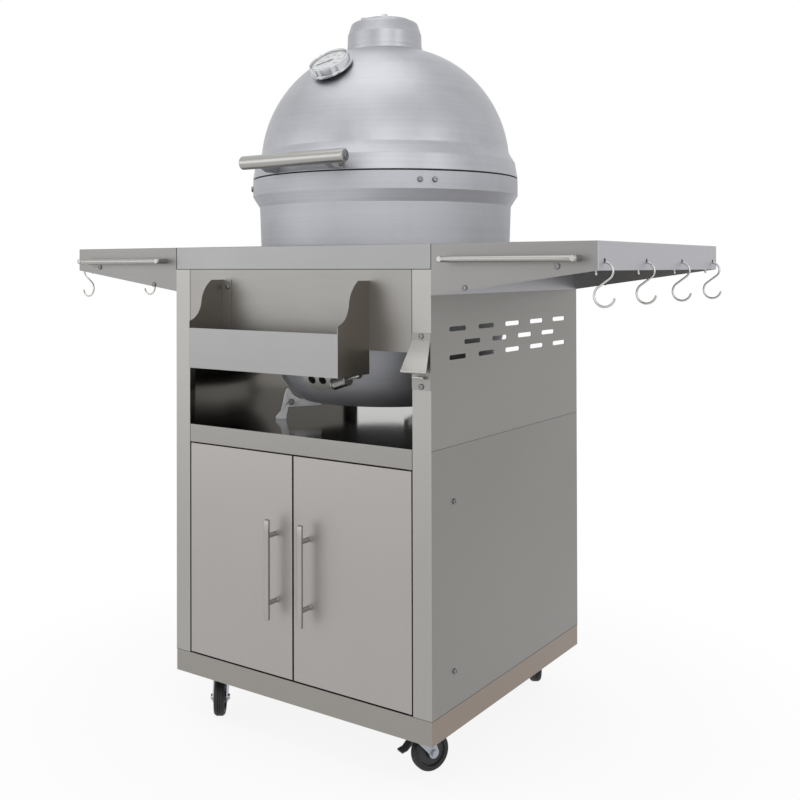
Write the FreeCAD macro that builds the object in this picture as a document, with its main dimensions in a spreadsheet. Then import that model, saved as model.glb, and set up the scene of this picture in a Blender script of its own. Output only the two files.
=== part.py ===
import FreeCAD, Part
import math
import os
import re
import Sketcher

# Kamado grill table: a stainless cart on casters, with two side shelves and a double
# cupboard, that carries a cast aluminium kamado in a round cut-out of its counter.
# Millimetres, +Z up, front towards -Y. The origin is on the floor under the middle of
# the object's outline. Heights named "..._drop" are measured down from the counter top
# and those named "..._rise" are measured up from it.

SIZES = [
    ("cart_width", 640.0, "width of the cart's body"),
    ("cart_depth", 640.0, "depth of the cart's body"),
    ("counter_height", 996.0, "counter top above the floor"),
    ("skin", 1.2, "thickness of the folded stainless sheet"),
    ("fold_radius", 1.6, "outside radius of the large folds"),
    ("fascia", 46.0, "height of the counter's edge"),
    ("stile", 40.0, "width of the bends that frame the front"),
    ("return_lip", 16.0, "depth of the lip behind each stile"),
    ("rear_lip", 24.0, "width of the bends at the back"),
    ("reveal", 1.4, "line between the stiles and what lies between them"),
    ("seam_depth", 0.8, "depth of the line under the counter's edge"),
    ("slip", 0.3, "clearance of inner sheets inside the side panels"),
    ("shelf_drop", 375.5, "middle shelf below the counter top"),
    ("panel_drop", 199.0, "lower edge of the upper front panel"),
    ("rail_height", 37.0, "height of the rail above the doors"),
    ("rail_lip", 40.0, "depth of the lip under that rail"),
    ("ledge", 15.0, "flange under the middle shelf at each side"),
    ("base_low", 90.0, "lower edge of the base above the floor"),
    ("skirt", 45.0, "height of the base's skirt"),
    ("cutout_gap", 5.0, "gap between the kamado and the counter's cut-out"),
    ("kamado_share", 0.25, "share of the counter's border that the kamado stands back"),
    ("kamado_shift", "kamado_share*(cart_depth/2 - bowl_r - cutout_gap)", "its axis behind the cart's middle"),
    ("vent_length", 62.0, "length of a side vent slot"),
    ("vent_height", 9.0, "height of a side vent slot"),
    ("vent_pitch", 112.0, "distance between slots of one row"),
    ("vent_row", 26.5, "distance between the rows of slots"),
    ("vent_drop", 158.0, "top row of slots below the counter top"),
    ("shelf_reach", 317.0, "how far a side shelf stands out"),
    ("shelf_edge", 49.0, "height of a side shelf's free end"),
    ("shelf_root", 94.0, "height of a side shelf at the cart"),
    ("shelf_hem", 8.0, "folded hem along the free end"),
    ("hook_hole_r", 4.6, "holes for the hooks"),
    ("hook_hole_drop", 33.0, "hook holes below the counter top"),
    ("hook_margin", 27.5, "outer hooks from the shelf's front and back"),
    ("hook_pitch", "(cart_depth - 2*hook_margin)/3", "distance between the hooks"),
    ("hook_wire_r", 2.0, "radius of the hook's wire"),
    ("hook_upper_r", 15.0, "bend of the hook's upper loop"),
    ("hook_lower_r", 18.0, "bend of the hook's lower loop"),
    ("hook_span", 41.0, "from the upper loop's centre to the lower one's"),
    ("towel_bar_r", 5.0, "radius of the towel bars"),
    ("towel_post_r", 6.5, "radius of the towel bar's posts"),
    ("towel_length", 264.0, "length between the ends of a towel bar"),
    ("towel_inset", 27.0, "towel bar's end from the cart's side"),
    ("towel_reach", 24.0, "towel bar's axis in front of the shelf"),
    ("towel_drop", 29.0, "towel bar below the counter top"),
    ("rack_width", 370.0, "width of the bottle rack"),
    ("rack_depth", 100.0, "depth of the bottle rack"),
    ("rack_front", 79.5, "height of the bottle rack's front"),
    ("rack_low", 243.0, "bottom of the rack below the counter top"),
    ("rack_top", 68.0, "top of its ends below the counter top"),
    ("rack_crest", 35.0, "flat length at the top of its ends"),
    ("rack_lip", 24.0, "width of its flanges"),
    ("opener_width", 40.0, "width of the bottle opener's plate"),
    ("opener_height", 103.0, "height of that plate"),
    ("opener_drop", 162.5, "top of that plate below the counter top"),
    ("opener_sheet", 2.0, "thickness of the opener's steel"),
    ("opener_reach", 30.0, "how far its hood stands out"),
    ("opener_hood", 54.0, "width of the hood's lower edge"),
    ("screw_r", 5.2, "radius of a button head"),
    ("screw_h", 3.2, "height of a button head"),
    ("side_screw_inset", 81.0, "screws of the lower side panels from the front"),
    ("side_screw_drop", 479.0, "upper one of them below the counter top"),
    ("side_screw_span", 315.0, "distance between the two of them"),
    ("apron_screw_reach", 245.0, "outer screw of a shelf's apron from the cart"),
    ("apron_screw_drop", 42.0, "that screw below the counter top"),
    ("apron_root_reach", 69.0, "inner screw of a shelf's apron from the cart"),
    ("apron_root_drop", 80.0, "that screw below the counter top"),
    ("door_gap", 3.0, "gap round the doors"),
    ("door_split", 4.0, "gap between the two doors"),
    ("door_thick", 18.0, "thickness of a door"),
    ("door_hem", 14.0, "lip folded in behind a door's edges"),
    ("pivot_inset", 5.0, "door's pivot from its edge and from its face"),
    ("pivot_r", 3.0, "radius of the pivot pins"),
    ("pivot_length", 14.0, "how far a pivot pin enters the door"),
    ("pivot_block", 22.0, "size of the block that holds a pin's bush"),
    ("fit", 0.05, "running clearance on a radius"),
    ("air", 0.3, "clearance between faces that move past each other"),
    ("seat", 0.05, "clearance under castings that are bolted on"),
    ("handle_bar_r", 6.0, "radius of a door handle"),
    ("handle_bar_length", 200.0, "length of a door handle"),
    ("handle_post_pitch", 133.0, "distance between its posts"),
    ("handle_post_r", 5.0, "radius of its posts"),
    ("handle_reach", 30.0, "its axis in front of the door"),
    ("handle_inset", 41.5, "its axis from the middle of the cart"),
    ("handle_drop", 640.0, "its middle below the counter top"),
    ("catch_width", 42.0, "width of a magnetic catch"),
    ("catch_height", 13.0, "height of a magnetic catch"),
    ("catch_depth", 15.0, "depth of a magnetic catch"),
    ("bowl_r", 275.0, "kamado's radius at the counter"),
    ("band_r", 293.0, "radius of the bands at the seam"),
    ("bowl_low", 331.0, "bottom of the kamado below the counter top"),
    ("bowl_foot_r", 184.0, "radius of its flat bottom"),
    ("foot_bend_r", 118.0, "bend of the bowl's side above that"),
    ("haunch_r", 226.0, "radius at the bowl's haunch"),
    ("haunch_drop", 290.0, "haunch below the counter top"),
    ("haunch_bend_r", 340.0, "bend of the side above the haunch"),
    ("flank_r", 262.0, "radius at the bowl's flank"),
    ("flank_drop", 180.0, "flank below the counter top"),
    ("flank_bend_r", 1253.0, "bend of the side above the flank"),
    ("wall", 14.0, "thickness of the kamado's casting"),
    ("seam_rise", 147.5, "top face of the bowl above the counter"),
    ("band_rise", 112.0, "lower edge of the bowl's band"),
    ("chamfer_flare", 3.0, "how much the wall has widened there"),
    ("chamfer_rise", 88.0, "where the band has tapered into the wall"),
    ("seam_gap", 3.0, "gap between bowl and lid"),
    ("gasket_width", 20.0, "width of the felt seal"),
    ("rim_width", 30.0, "width of the casting's face at the seam"),
    ("lid_band", 33.0, "height of the lid's band"),
    ("lid_taper", 5.5, "how much that band narrows on its way up"),
    ("lid_ridge_rise", 209.0, "small ridge round the lid"),
    ("dome_r", 273.6, "radius of the dome above that ridge"),
    ("shoulder_r", 196.0, "radius where the dome turns flatter"),
    ("shoulder_rise", 371.2, "height where the dome turns flatter"),
    ("dome_bend_r", 266.5, "radius of the dome's side in section"),
    ("neck_r", 84.0, "radius of the lid's neck"),
    ("neck_rise", 434.4, "where the dome meets the neck"),
    ("neck_height", 9.0, "height of the neck"),
    ("chimney_r", 60.0, "radius of the opening in the neck"),
    ("cap_height", 56.6, "height of the vent's cap"),
    ("cap_top_r", 75.0, "radius of the cap at its top"),
    ("vent_disc_r", 58.0, "radius of the turning disc on the cap"),
    ("vent_disc_thick", 5.0, "thickness of that disc"),
    ("vent_port_r", 14.0, "radius of the ports in cap and disc"),
    ("vent_port_ring", 35.0, "radius of the circle the ports lie on"),
    ("stud_r", 5.0, "radius of the vent's centre stud"),
    ("stud_height", 22.0, "top of its nut above the cap"),
    ("knob_r", 5.0, "radius of the disc's knob"),
    ("knob_height", 9.0, "height of the disc's knob"),
    ("knob_ring", 47.0, "knob's distance from the centre"),
    ("lid_bar_r", 14.0, "radius of the lid's handle"),
    ("lid_bar_length", 260.0, "length of the lid's handle"),
    ("lid_bar_gap", 23.0, "finger room behind that handle"),
    ("lid_bar_rise", 171.0, "handle's axis above the counter"),
    ("bracket_spread", 81.0, "handle's brackets from the middle"),
    ("bracket_width", 16.0, "width of a handle bracket"),
    ("gauge_r", 44.0, "radius of the thermometer's case"),
    ("gauge_thick", 21.0, "depth of that case"),
    ("gauge_flange", 2.5, "how far the ring at its back stands out"),
    ("gauge_rim", 4.0, "width of its bezel"),
    ("gauge_tilt", 50.0, "degrees that its face looks up"),
    ("gauge_reach", 210.0, "its face from the kamado's axis"),
    ("gauge_rise", 388.8, "its face above the counter top"),
    ("gauge_stand", 22.0, "its face above the dome"),
    ("gauge_well", 6.0, "dial's depth behind its face"),
    ("needle_post_r", 1.2, "radius of the post that carries the needle"),
    ("needle_thick", 1.2, "thickness of the needle's hub"),
    ("needle_front", 4.2, "needle's front behind the face"),
    ("needle_length", 29.0, "needle's tip from its hub"),
    ("gauge_collar_r", 17.0, "radius of the collar under the case"),
    ("stem_r", 6.5, "radius of its threaded stem"),
    ("probe_r", 2.5, "radius of its probe"),
    ("probe_length", 110.0, "tip of the probe behind the face"),
    ("hinge_reach", 40.0, "lid's hinge axis behind the band"),
    ("hinge_pin_r", 5.0, "radius of the lid's hinge pin"),
    ("hinge_ear_r", 15.0, "round end of the hinge's ears"),
    ("hinge_ear_thick", 6.0, "thickness of those ears"),
    ("hinge_half", 46.0, "outer face of the bowl's ears from the middle"),
    ("draft_drop", 259.0, "draft vent's plate below the counter top"),
    ("draft_face", 251.5, "its plate from the kamado's axis"),
    ("draft_tilt", 22.0, "degrees that the plate looks down"),
    ("draft_r", 40.0, "radius of the draft vent's housing"),
    ("draft_bore_r", 30.0, "radius of its opening"),
    ("draft_plate", 3.0, "thickness of its front plate"),
    ("draft_disc_r", 37.0, "radius of its turning disc"),
    ("draft_port_r", 9.0, "radius of the ports in plate and disc"),
    ("draft_port_ring", 19.0, "radius of the circle those ports lie on"),
    ("grip_r", 10.5, "radius of the coil grip to the wire's middle"),
    ("grip_wire_r", 1.3, "radius of the grip's wire"),
    ("grip_turns", 8.0, "turns of the coil grip"),
    ("grip_pitch", 4.2, "distance from turn to turn"),
    ("grip_start", 46.0, "where the grip begins beside the vent's axis"),
    ("grip_fall", 17.0, "how far below that axis it begins"),
    ("grip_turn", 19.0, "degrees that the grip rises from there"),
    ("grip_tail", 26.0, "length of the rod that carries the knob past the grip"),
    ("grip_knob_r", 5.0, "radius of that knob"),
    ("grip_lift", 5.0, "grip's middle above the face of the disc"),
    ("spindle_r", 4.0, "radius of the spindle inside the grip"),
    ("collar_r", 12.3, "radius of the spindle's end collars"),
    ("grate_rod_r", 3.0, "radius of the cooking grate's rods"),
    ("grate_pitch", 22.0, "distance between those rods"),
    ("grate_ledge", 9.0, "ledge under the cooking grate"),
    ("grate_rise", 118.0, "underside of the cooking grate above the counter"),
    ("coal_grate_drop", 205.0, "underside of the charcoal grate"),
    ("coal_grate_thick", 9.0, "thickness of the charcoal grate"),
    ("coal_ledge", 8.0, "ledge under the charcoal grate"),
    ("coal_grate_r", 238.0, "radius of the charcoal grate"),
    ("foot_thick", 12.0, "thickness of a cast stand foot"),
    ("foot_reach", 246.0, "outer toe of a stand foot from the axis"),
    ("foot_toe", 26.0, "length of its toe"),
    ("foot_arm_end", 144.0, "inner end of its arm from the axis"),
    ("foot_arm", 17.0, "height of its arm"),
    ("foot_tip_height", 69.0, "height of its upper tip"),
    ("foot_turn", 46.0, "degrees from the front to the first foot"),
    ("caster_inset_x", 72.0, "caster's swivel from the cart's side"),
    ("caster_inset_y", 64.0, "caster's swivel from front and back"),
    ("caster_mount_rise", 8.0, "caster plates above the base's lower edge"),
    ("caster_plate_thick", 3.0, "thickness of a caster's plate"),
    ("caster_plate_x", 92.0, "length of that plate"),
    ("caster_plate_y", 66.0, "width of that plate"),
    ("corner_plate", 124.0, "size of the base's corner plates"),
    ("wheel_r", 38.0, "radius of the wheels"),
    ("wheel_width", 24.0, "width of the wheels"),
    ("wheel_bore_r", 4.0, "radius of the wheel's axle"),
    ("caster_trail", 28.0, "axle's distance behind the swivel"),
    ("fork_thick", 2.5, "thickness of the fork"),
    ("fork_crown_r", 27.0, "radius of the fork's crown"),
    ("fork_leg", 21.0, "width of a fork leg at the axle"),
    ("swivel_r", 6.0, "radius of the swivel's rivet"),
    ("pedal_pin_r", 3.0, "radius of the brake pedal's pin"),
    ("pedal_width", 18.0, "width of the brake pedal"),
]
VALUE = {alias: size for alias, size, note in SIZES}

# How each caster is turned at rest, in degrees from +X, as the photograph shows them.
CASTERS = [
    ("front_left", -1, -1, -54.0),
    ("front_right", 1, -1, 64.0),
    ("rear_left", -1, 1, -120.0),
    ("rear_right", 1, 1, 126.0),
]

doc = FreeCAD.newDocument("kamado_grill_table")
sheet = doc.addObject("Spreadsheet::Sheet", "sizes")
for row, (alias, size, note) in enumerate(SIZES, start=1):
    sheet.set("A%d" % row, alias)
    sheet.set("B%d" % row, "=" + size if isinstance(size, str) else repr(size))
    sheet.set("C%d" % row, note)
    sheet.setAlias("B%d" % row, alias)
doc.recompute()

WORD = re.compile(r"[A-Za-z_]\w*")
FORMULAS = [size for alias, size, note in SIZES if isinstance(size, str)]
NODES = []


def bound(text):
    """A size written with the sheet's words, as an expression."""
    text = str(text)
    return WORD.sub(lambda m: "sizes." + m.group(0) if m.group(0) in VALUE else m.group(0), text)


def number(text):
    """The same size as a plain number, for the shapes that are made by code."""
    tokens = re.findall(r"[A-Za-z_]\w*|\d+\.?\d*|[()+\-*/]", str(text))

    def factor():
        token = tokens.pop(0)
        if token == "-":
            return -factor()
        if token == "+":
            return factor()
        if token == "(":
            value = total()
            tokens.pop(0)
            return value
        value = VALUE.get(token, token)
        return number(value) if value in FORMULAS else float(value)

    def product():
        value = factor()
        while tokens and tokens[0] in "*/":
            sign = tokens.pop(0)
            value = value * factor() if sign == "*" else value / factor()
        return value

    def total():
        value = product()
        while tokens and tokens[0] in "+-":
            sign = tokens.pop(0)
            value = value + product() if sign == "+" else value - product()
        return value

    return total()


# The cart's middle lies behind the origin, so that the origin is under the middle of
# the whole outline, from the bottle rack's front to the lid hinge's ears.
REAR_REACH = "kamado_shift + band_r + hinge_reach + hinge_ear_r"
FRONT_REACH = "cart_depth/2 + rack_depth"
CART_Y = "((%s) - (%s))/2" % (FRONT_REACH, REAR_REACH)

HALF_W = "cart_width/2"
HALF_D = "cart_depth/2"
TOP = "counter_height"
SHELF_Z = "(counter_height - shelf_drop)"
BASE_TOP = "(base_low + skirt)"
FASCIA_LOW = "(counter_height - fascia)"


def up(text):
    """A height given above the counter top."""
    return "(counter_height + %s)" % text


def down(text):
    """A height given below the counter top."""
    return "(counter_height - %s)" % text


def place(thing, x, y, z):
    thing.setExpression("Placement.Base.x", bound(x))
    thing.setExpression("Placement.Base.y", bound("(%s) + %s" % (y, CART_Y)))
    thing.setExpression("Placement.Base.z", bound(z))


def box(label, x, y, z):
    """A block between two values on each axis."""
    thing = doc.addObject("Part::Box", label)
    for side, span in (("Length", x), ("Width", y), ("Height", z)):
        thing.setExpression(side, bound("(%s) - (%s)" % (span[1], span[0])))
    place(thing, x[0], y[0], z[0])
    return thing


TURNS = {
    "Z": FreeCAD.Rotation(),
    "X": FreeCAD.Rotation(FreeCAD.Vector(0, 1, 0), 90),
    "Y": FreeCAD.Rotation(FreeCAD.Vector(1, 0, 0), -90),
}


def rod(label, axis, start, radius, length):
    """A round bar from its start point along +X, +Y or +Z."""
    thing = doc.addObject("Part::Cylinder", label)
    thing.setExpression("Radius", bound(radius))
    thing.setExpression("Height", bound(length))
    thing.Placement = FreeCAD.Placement(FreeCAD.Vector(), TURNS[axis])
    place(thing, *start)
    return thing


def joined(label, pieces):
    thing = doc.addObject("Part::MultiFuse", label)
    thing.Shapes = pieces
    thing.Refine = True
    return thing


def cut(label, base, tools):
    thing = doc.addObject("Part::Cut", label)
    thing.Base = base
    thing.Tool = tools[0] if len(tools) == 1 else joined(label + "_cutter", tools)
    thing.Refine = True
    return thing


def together(label, pieces):
    """A group of separate solids that share one node."""
    thing = doc.addObject("Part::Compound", label)
    thing.Links = pieces
    return thing


def node(thing, name):
    thing.Label = name
    NODES.append((name, thing))
    return thing


def shaped(label, shape):
    """A solid made by code, in the cart's own frame, moved to the origin's."""
    thing = doc.addObject("Part::Feature", label)
    own = shape.Placement
    thing.Shape = shape
    shift = FreeCAD.Placement(FreeCAD.Vector(0, number(CART_Y), 0), FreeCAD.Rotation())
    thing.Placement = shift.multiply(own)
    return thing


def cart_shape(thing):
    """An object's solid so far, moved back to the cart's own frame."""
    doc.recompute()
    shape = thing.Shape.copy()
    shape.translate(FreeCAD.Vector(0, -number(CART_Y), 0))
    return shape


def softened(label, base, radius, wanted):
    """Rounds the edges whose two ends pass the test."""
    doc.recompute()
    chosen = []
    for index, edge in enumerate(base.Shape.Edges, start=1):
        ends = [v.Point - base.Placement.Base for v in edge.Vertexes]
        if len(ends) == 2 and wanted(ends[0], ends[1]):
            chosen.append((index, radius, radius))
    thing = doc.addObject("Part::Fillet", label)
    thing.Base = base
    thing.Edges = chosen
    return thing


def upright(a, b):
    return abs(a.z - b.z) > 1 and abs(a.x - b.x) + abs(a.y - b.y) < 1e-6


def origin_plane(body, role):
    return [f for f in body.Origin.OriginFeatures if f.Role == role][0]


def outline(body, role, points, offset="0"):
    """A closed sketch. Each point is two sizes, and a third item bends the side that ends
    there: a radius with its sign for the side it bulges to, or the word tangent."""
    sketch = body.newObject("Sketcher::SketchObject", body.Name + "_outline")
    sketch.AttachmentSupport = [(origin_plane(body, role), "")]
    sketch.MapMode = "FlatFace"
    sketch.setExpression("AttachmentOffset.Base.z", bound(offset))
    spots = [FreeCAD.Vector(number(p[0]), number(p[1]), 0) for p in points]
    heading = None
    sides = []
    for index, point in enumerate(points):
        start, end = spots[index - 1], spots[index]
        bend = point[2] if len(point) > 2 else None
        if bend is None:
            sides.append(sketch.addGeometry(Part.LineSegment(start, end), False))
            heading = (end - start).normalize()
        else:
            chord = end - start
            if bend == "tangent":
                turn = heading.x * chord.y - heading.y * chord.x
                radius = chord.Length ** 2 / (2 * abs(turn)) * (1 if turn > 0 else -1)
            else:
                radius = number(bend)
            middle, heading = bulge(start, end, radius)
            first, last = (start, end) if radius > 0 else (end, start)
            sides.append(sketch.addGeometry(Part.Arc(first, middle, last), False))
    count = len(points)
    ends = [end_mark(sketch, sides[index], spots[index]) for index in range(count)]
    rules = []
    for index, point in enumerate(points):
        after = (index + 1) % count
        smooth = len(points[after]) > 2 and points[after][2] == "tangent"
        kind = "Tangent" if smooth else "Coincident"
        rules.append((kind, (sides[index], ends[index], sides[after], 3 - ends[after]), None))
        rules.append(("DistanceX", (-1, 1, sides[index], ends[index]), point[0]))
        rules.append(("DistanceY", (-1, 1, sides[index], ends[index]), point[1]))
        if len(point) > 2 and point[2] != "tangent":
            rules.append(("Radius", (sides[index],), point[2].lstrip("-")))
    for kind, where, value in rules:
        if value is None:
            sketch.addConstraint(Sketcher.Constraint(kind, *where))
        else:
            row = sketch.addConstraint(Sketcher.Constraint(kind, *where, number(value)))
            sketch.setExpression("Constraints[%d]" % row, bound(value))
    return sketch


def bulge(start, end, radius):
    """The middle of an arc and the heading at its end, for a signed radius."""
    chord = end - start
    side = FreeCAD.Vector(-chord.y, chord.x, 0).normalize()
    rise = abs(radius) - math.sqrt(max(radius ** 2 - (chord.Length / 2) ** 2, 0))
    turn = 1 if radius > 0 else -1
    middle = (start + end) * 0.5 - side * rise * turn
    centre = middle + side * abs(radius) * turn
    spoke = end - centre
    heading = FreeCAD.Vector(-spoke.y, spoke.x, 0) * turn
    return middle, heading.normalize()


def end_mark(sketch, side, spot):
    """Which end of a side, 1 or 2, lies at a point."""
    shape = sketch.Geometry[side]
    return 1 if (shape.StartPoint - spot).Length < (shape.EndPoint - spot).Length else 2


def turned(label, points, y="kamado_shift"):
    """A body of revolution about the kamado's axis, from radius and height."""
    body = doc.addObject("PartDesign::Body", label)
    sketch = outline(body, "XZ_Plane", points)
    spin = body.newObject("PartDesign::Revolution", label + "_turn")
    spin.Profile = sketch
    spin.ReferenceAxis = (sketch, ["V_Axis"])
    spin.Angle = 360
    place(body, "0", y, "0")
    return body


def prism(label, role, points, low, high):
    """A straight extrusion of an outline between two values on the third axis."""
    body = doc.addObject("PartDesign::Body", label)
    offset = "-(%s)" % high if role == "XZ_Plane" else low
    sketch = outline(body, role, points, offset)
    pad = body.newObject("PartDesign::Pad", label + "_pad")
    pad.Profile = sketch
    pad.setExpression("Length", bound("(%s) - (%s)" % (high, low)))
    place(body, "0", "0", "0")
    return body


# Counter top with its fascia and the kamado's round cut-out.
slab = box(
    "counter_slab",
    ("-" + HALF_W, HALF_W),
    ("-" + HALF_D, HALF_D),
    (FASCIA_LOW, TOP),
)
slab = softened(
    "counter_folds",
    slab,
    number("fold_radius"),
    lambda a, b: upright(a, b) or min(a.z, b.z) > number("fascia") - 1,
)
hollow = box(
    "counter_hollow",
    ("skin - " + HALF_W, HALF_W + " - skin"),
    ("skin - " + HALF_D, HALF_D + " - skin"),
    (FASCIA_LOW + " - 1", TOP + " - skin"),
)
opening = rod("counter_opening", "Z", ("0", "kamado_shift", FASCIA_LOW), "bowl_r + cutout_gap", "fascia + 1")
node(cut("counter_top_cut", slab, [hollow, opening]), "counter_top")


def side_section(side):
    """A side panel's section: the wall, the stile with its lip, and the rear bend."""
    edge = HALF_W
    rows = [
        (edge, "-" + HALF_D),
        (edge, HALF_D),
        (edge + " - rear_lip", HALF_D),
        (edge + " - rear_lip", HALF_D + " - skin"),
        (edge + " - skin", HALF_D + " - skin"),
        (edge + " - skin", "skin - " + HALF_D),
        (edge + " - stile + skin", "skin - " + HALF_D),
        (edge + " - stile + skin", "return_lip - " + HALF_D),
        (edge + " - stile", "return_lip - " + HALF_D),
        (edge + " - stile", "-" + HALF_D),
    ]
    if side > 0:
        return rows
    return [("-(%s)" % x, y) for x, y in reversed(rows)]


def vent_cutters(side):
    """Three rows of round-ended slots, five, four and five."""
    tools = []
    for line, count in enumerate((5, 4, 5)):
        height = down("(vent_drop + %d*vent_row)" % line)
        for place_in_row in range(count):
            middle = "(%s)*vent_pitch" % (place_in_row - (count - 1) / 2)
            half = "(vent_length - vent_height)/2"
            depth = (HALF_W + " - 6", HALF_W + " + 6")
            if side < 0:
                depth = ("-(%s)" % depth[1], "-(%s)" % depth[0])
            ends = ("%s - %s" % (middle, half), "%s + %s" % (middle, half))
            tools.append(
                box("slot", depth, ends, (height + " - vent_height/2", height + " + vent_height/2"))
            )
            for end in ends:
                tools.append(rod("slot_end", "X", (depth[0], end, height), "vent_height/2", "12"))
    return tools


def seam_cutter(word):
    """A shallow groove all round the cart, just under the counter's edge."""
    low, high = FASCIA_LOW + " - reveal", FASCIA_LOW
    outside = box("seam_outside_" + word, ("-1 - " + HALF_W, HALF_W + " + 1"), ("-1 - " + HALF_D, HALF_D + " + 1"), (low, high))
    inside = box(
        "seam_inside_" + word,
        ("seam_depth - " + HALF_W, HALF_W + " - seam_depth"),
        ("seam_depth - " + HALF_D, HALF_D + " - seam_depth"),
        (low + " - 1", high + " + 1"),
    )
    return cut("seam_" + word, outside, [inside])


for word, side in (("left", -1), ("right", 1)):
    wall = prism(
        "upper_%s_wall" % word, "XY_Plane", side_section(side), SHELF_Z, FASCIA_LOW
    )
    tools = vent_cutters(side) + [seam_cutter(word)]
    node(cut("upper_%s_vents" % word, wall, tools), "upper_%s_panel" % word)
    wall = prism(
        "lower_%s_wall" % word, "XY_Plane", side_section(side), BASE_TOP, SHELF_Z
    )
    span = (HALF_W + " - skin - ledge", HALF_W + " - skin")
    if side < 0:
        span = ("-(%s)" % span[1], "-(%s)" % span[0])
    flange = box(
        "ledge_%s" % word,
        span,
        ("return_lip + 1 - " + HALF_D, HALF_D + " - rear_lip"),
        (SHELF_Z + " - 2*skin", SHELF_Z + " - skin"),
    )
    node(joined("lower_%s_folded" % word, [wall, flange]), "lower_%s_panel" % word)

# The sheet behind the cupboard: above the middle shelf the back is open, so that the
# kamado's heat can leave.
BACK_FACE = HALF_D + " - 2*skin"
node(
    box(
        "back_sheet",
        ("skin + slip - " + HALF_W, HALF_W + " - skin - slip"),
        (BACK_FACE, HALF_D + " - skin"),
        (BASE_TOP, SHELF_Z),
    ),
    "back_panel",
)

# Upper front panel: a shallow pan between the stiles that hangs from the fascia.
PANEL_HALF = HALF_W + " - stile - reveal"
pan = box(
    "front_pan",
    ("-(%s)" % PANEL_HALF, PANEL_HALF),
    ("-" + HALF_D, "return_lip - " + HALF_D),
    (down("panel_drop"), FASCIA_LOW),
)
pan_hollow = box(
    "front_pan_hollow",
    ("skin - (%s)" % PANEL_HALF, PANEL_HALF + " - skin"),
    ("skin - " + HALF_D, "return_lip + 1 - " + HALF_D),
    (down("panel_drop") + " + skin", FASCIA_LOW + " - skin"),
)
node(cut("front_pan_cut", pan, [pan_hollow, seam_cutter("front")]), "front_panel")

# Middle shelf, notched round the stiles, with the rail above the doors and its lip.
RAIL_LOW = "(counter_height - shelf_drop - rail_height)"
deck = box(
    "shelf_deck",
    ("skin + slip - " + HALF_W, HALF_W + " - skin - slip"),
    ("-" + HALF_D, BACK_FACE + " - slip"),
    (SHELF_Z + " - skin", SHELF_Z),
)
notches = [
    box("notch_left", ("-" + HALF_W, "-(%s)" % PANEL_HALF), ("-" + HALF_D + " - 1", "return_lip + 1 - " + HALF_D),
        (SHELF_Z + " - 9", SHELF_Z + " + 1")),
    box("notch_right", (PANEL_HALF, HALF_W), ("-" + HALF_D + " - 1", "return_lip + 1 - " + HALF_D),
        (SHELF_Z + " - 9", SHELF_Z + " + 1")),
    box("notch_rear_left", ("-" + HALF_W, "rear_lip + 1 - " + HALF_W), (HALF_D + " - skin - rear_lip", HALF_D),
        (SHELF_Z + " - 9", SHELF_Z + " + 1")),
    box("notch_rear_right", (HALF_W + " - rear_lip - 1", HALF_W), (HALF_D + " - skin - rear_lip", HALF_D),
        (SHELF_Z + " - 9", SHELF_Z + " + 1")),
]
deck = cut("shelf_notched", deck, notches)
rail = box(
    "rail_face",
    ("-(%s)" % PANEL_HALF, PANEL_HALF),
    ("-" + HALF_D, "skin - " + HALF_D),
    (RAIL_LOW, SHELF_Z),
)
rail_flange = box(
    "rail_flange",
    ("-(%s)" % PANEL_HALF, PANEL_HALF),
    ("-" + HALF_D, "rail_lip - " + HALF_D),
    (RAIL_LOW, RAIL_LOW + " + skin"),
)
node(joined("shelf_and_rail", [deck, rail, rail_flange]), "middle_shelf")

# Base: floor, skirt and the corner plates that the casters are bolted to.
CASTER_TOP = "(base_low + caster_mount_rise)"
base_block = box("base_block", ("-" + HALF_W, HALF_W), ("-" + HALF_D, HALF_D), ("base_low", BASE_TOP))
base_block = softened("base_folds", base_block, number("fold_radius"), upright)
base_hollow = box(
    "base_hollow",
    ("skin - " + HALF_W, HALF_W + " - skin"),
    ("skin - " + HALF_D, HALF_D + " - skin"),
    ("base_low - 1", BASE_TOP + " - skin"),
)
base_shell = cut("base_shell", base_block, [base_hollow])
corners = []
for word, side_x, side_y, turn in CASTERS:
    span_x = (HALF_W + " - skin - corner_plate", HALF_W + " - skin")
    span_y = (HALF_D + " - skin - corner_plate", HALF_D + " - skin")
    if side_x < 0:
        span_x = ("-(%s)" % span_x[1], "-(%s)" % span_x[0])
    if side_y < 0:
        span_y = ("-(%s)" % span_y[1], "-(%s)" % span_y[0])
    corners.append(box("corner_" + word, span_x, span_y, (CASTER_TOP, CASTER_TOP + " + 3")))
node(joined("base_joined", [base_shell] + corners), "base_tray")

# Side shelves: open pans with tapering aprons and a hemmed free end with hook holes.
HOOK_ROWS = [-1.5, -0.5, 0.5, 1.5]


def mirror_if(side, rows):
    if side > 0:
        return rows
    return [("-(%s)" % row[0],) + tuple(row[1:]) for row in reversed(rows)]


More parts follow.
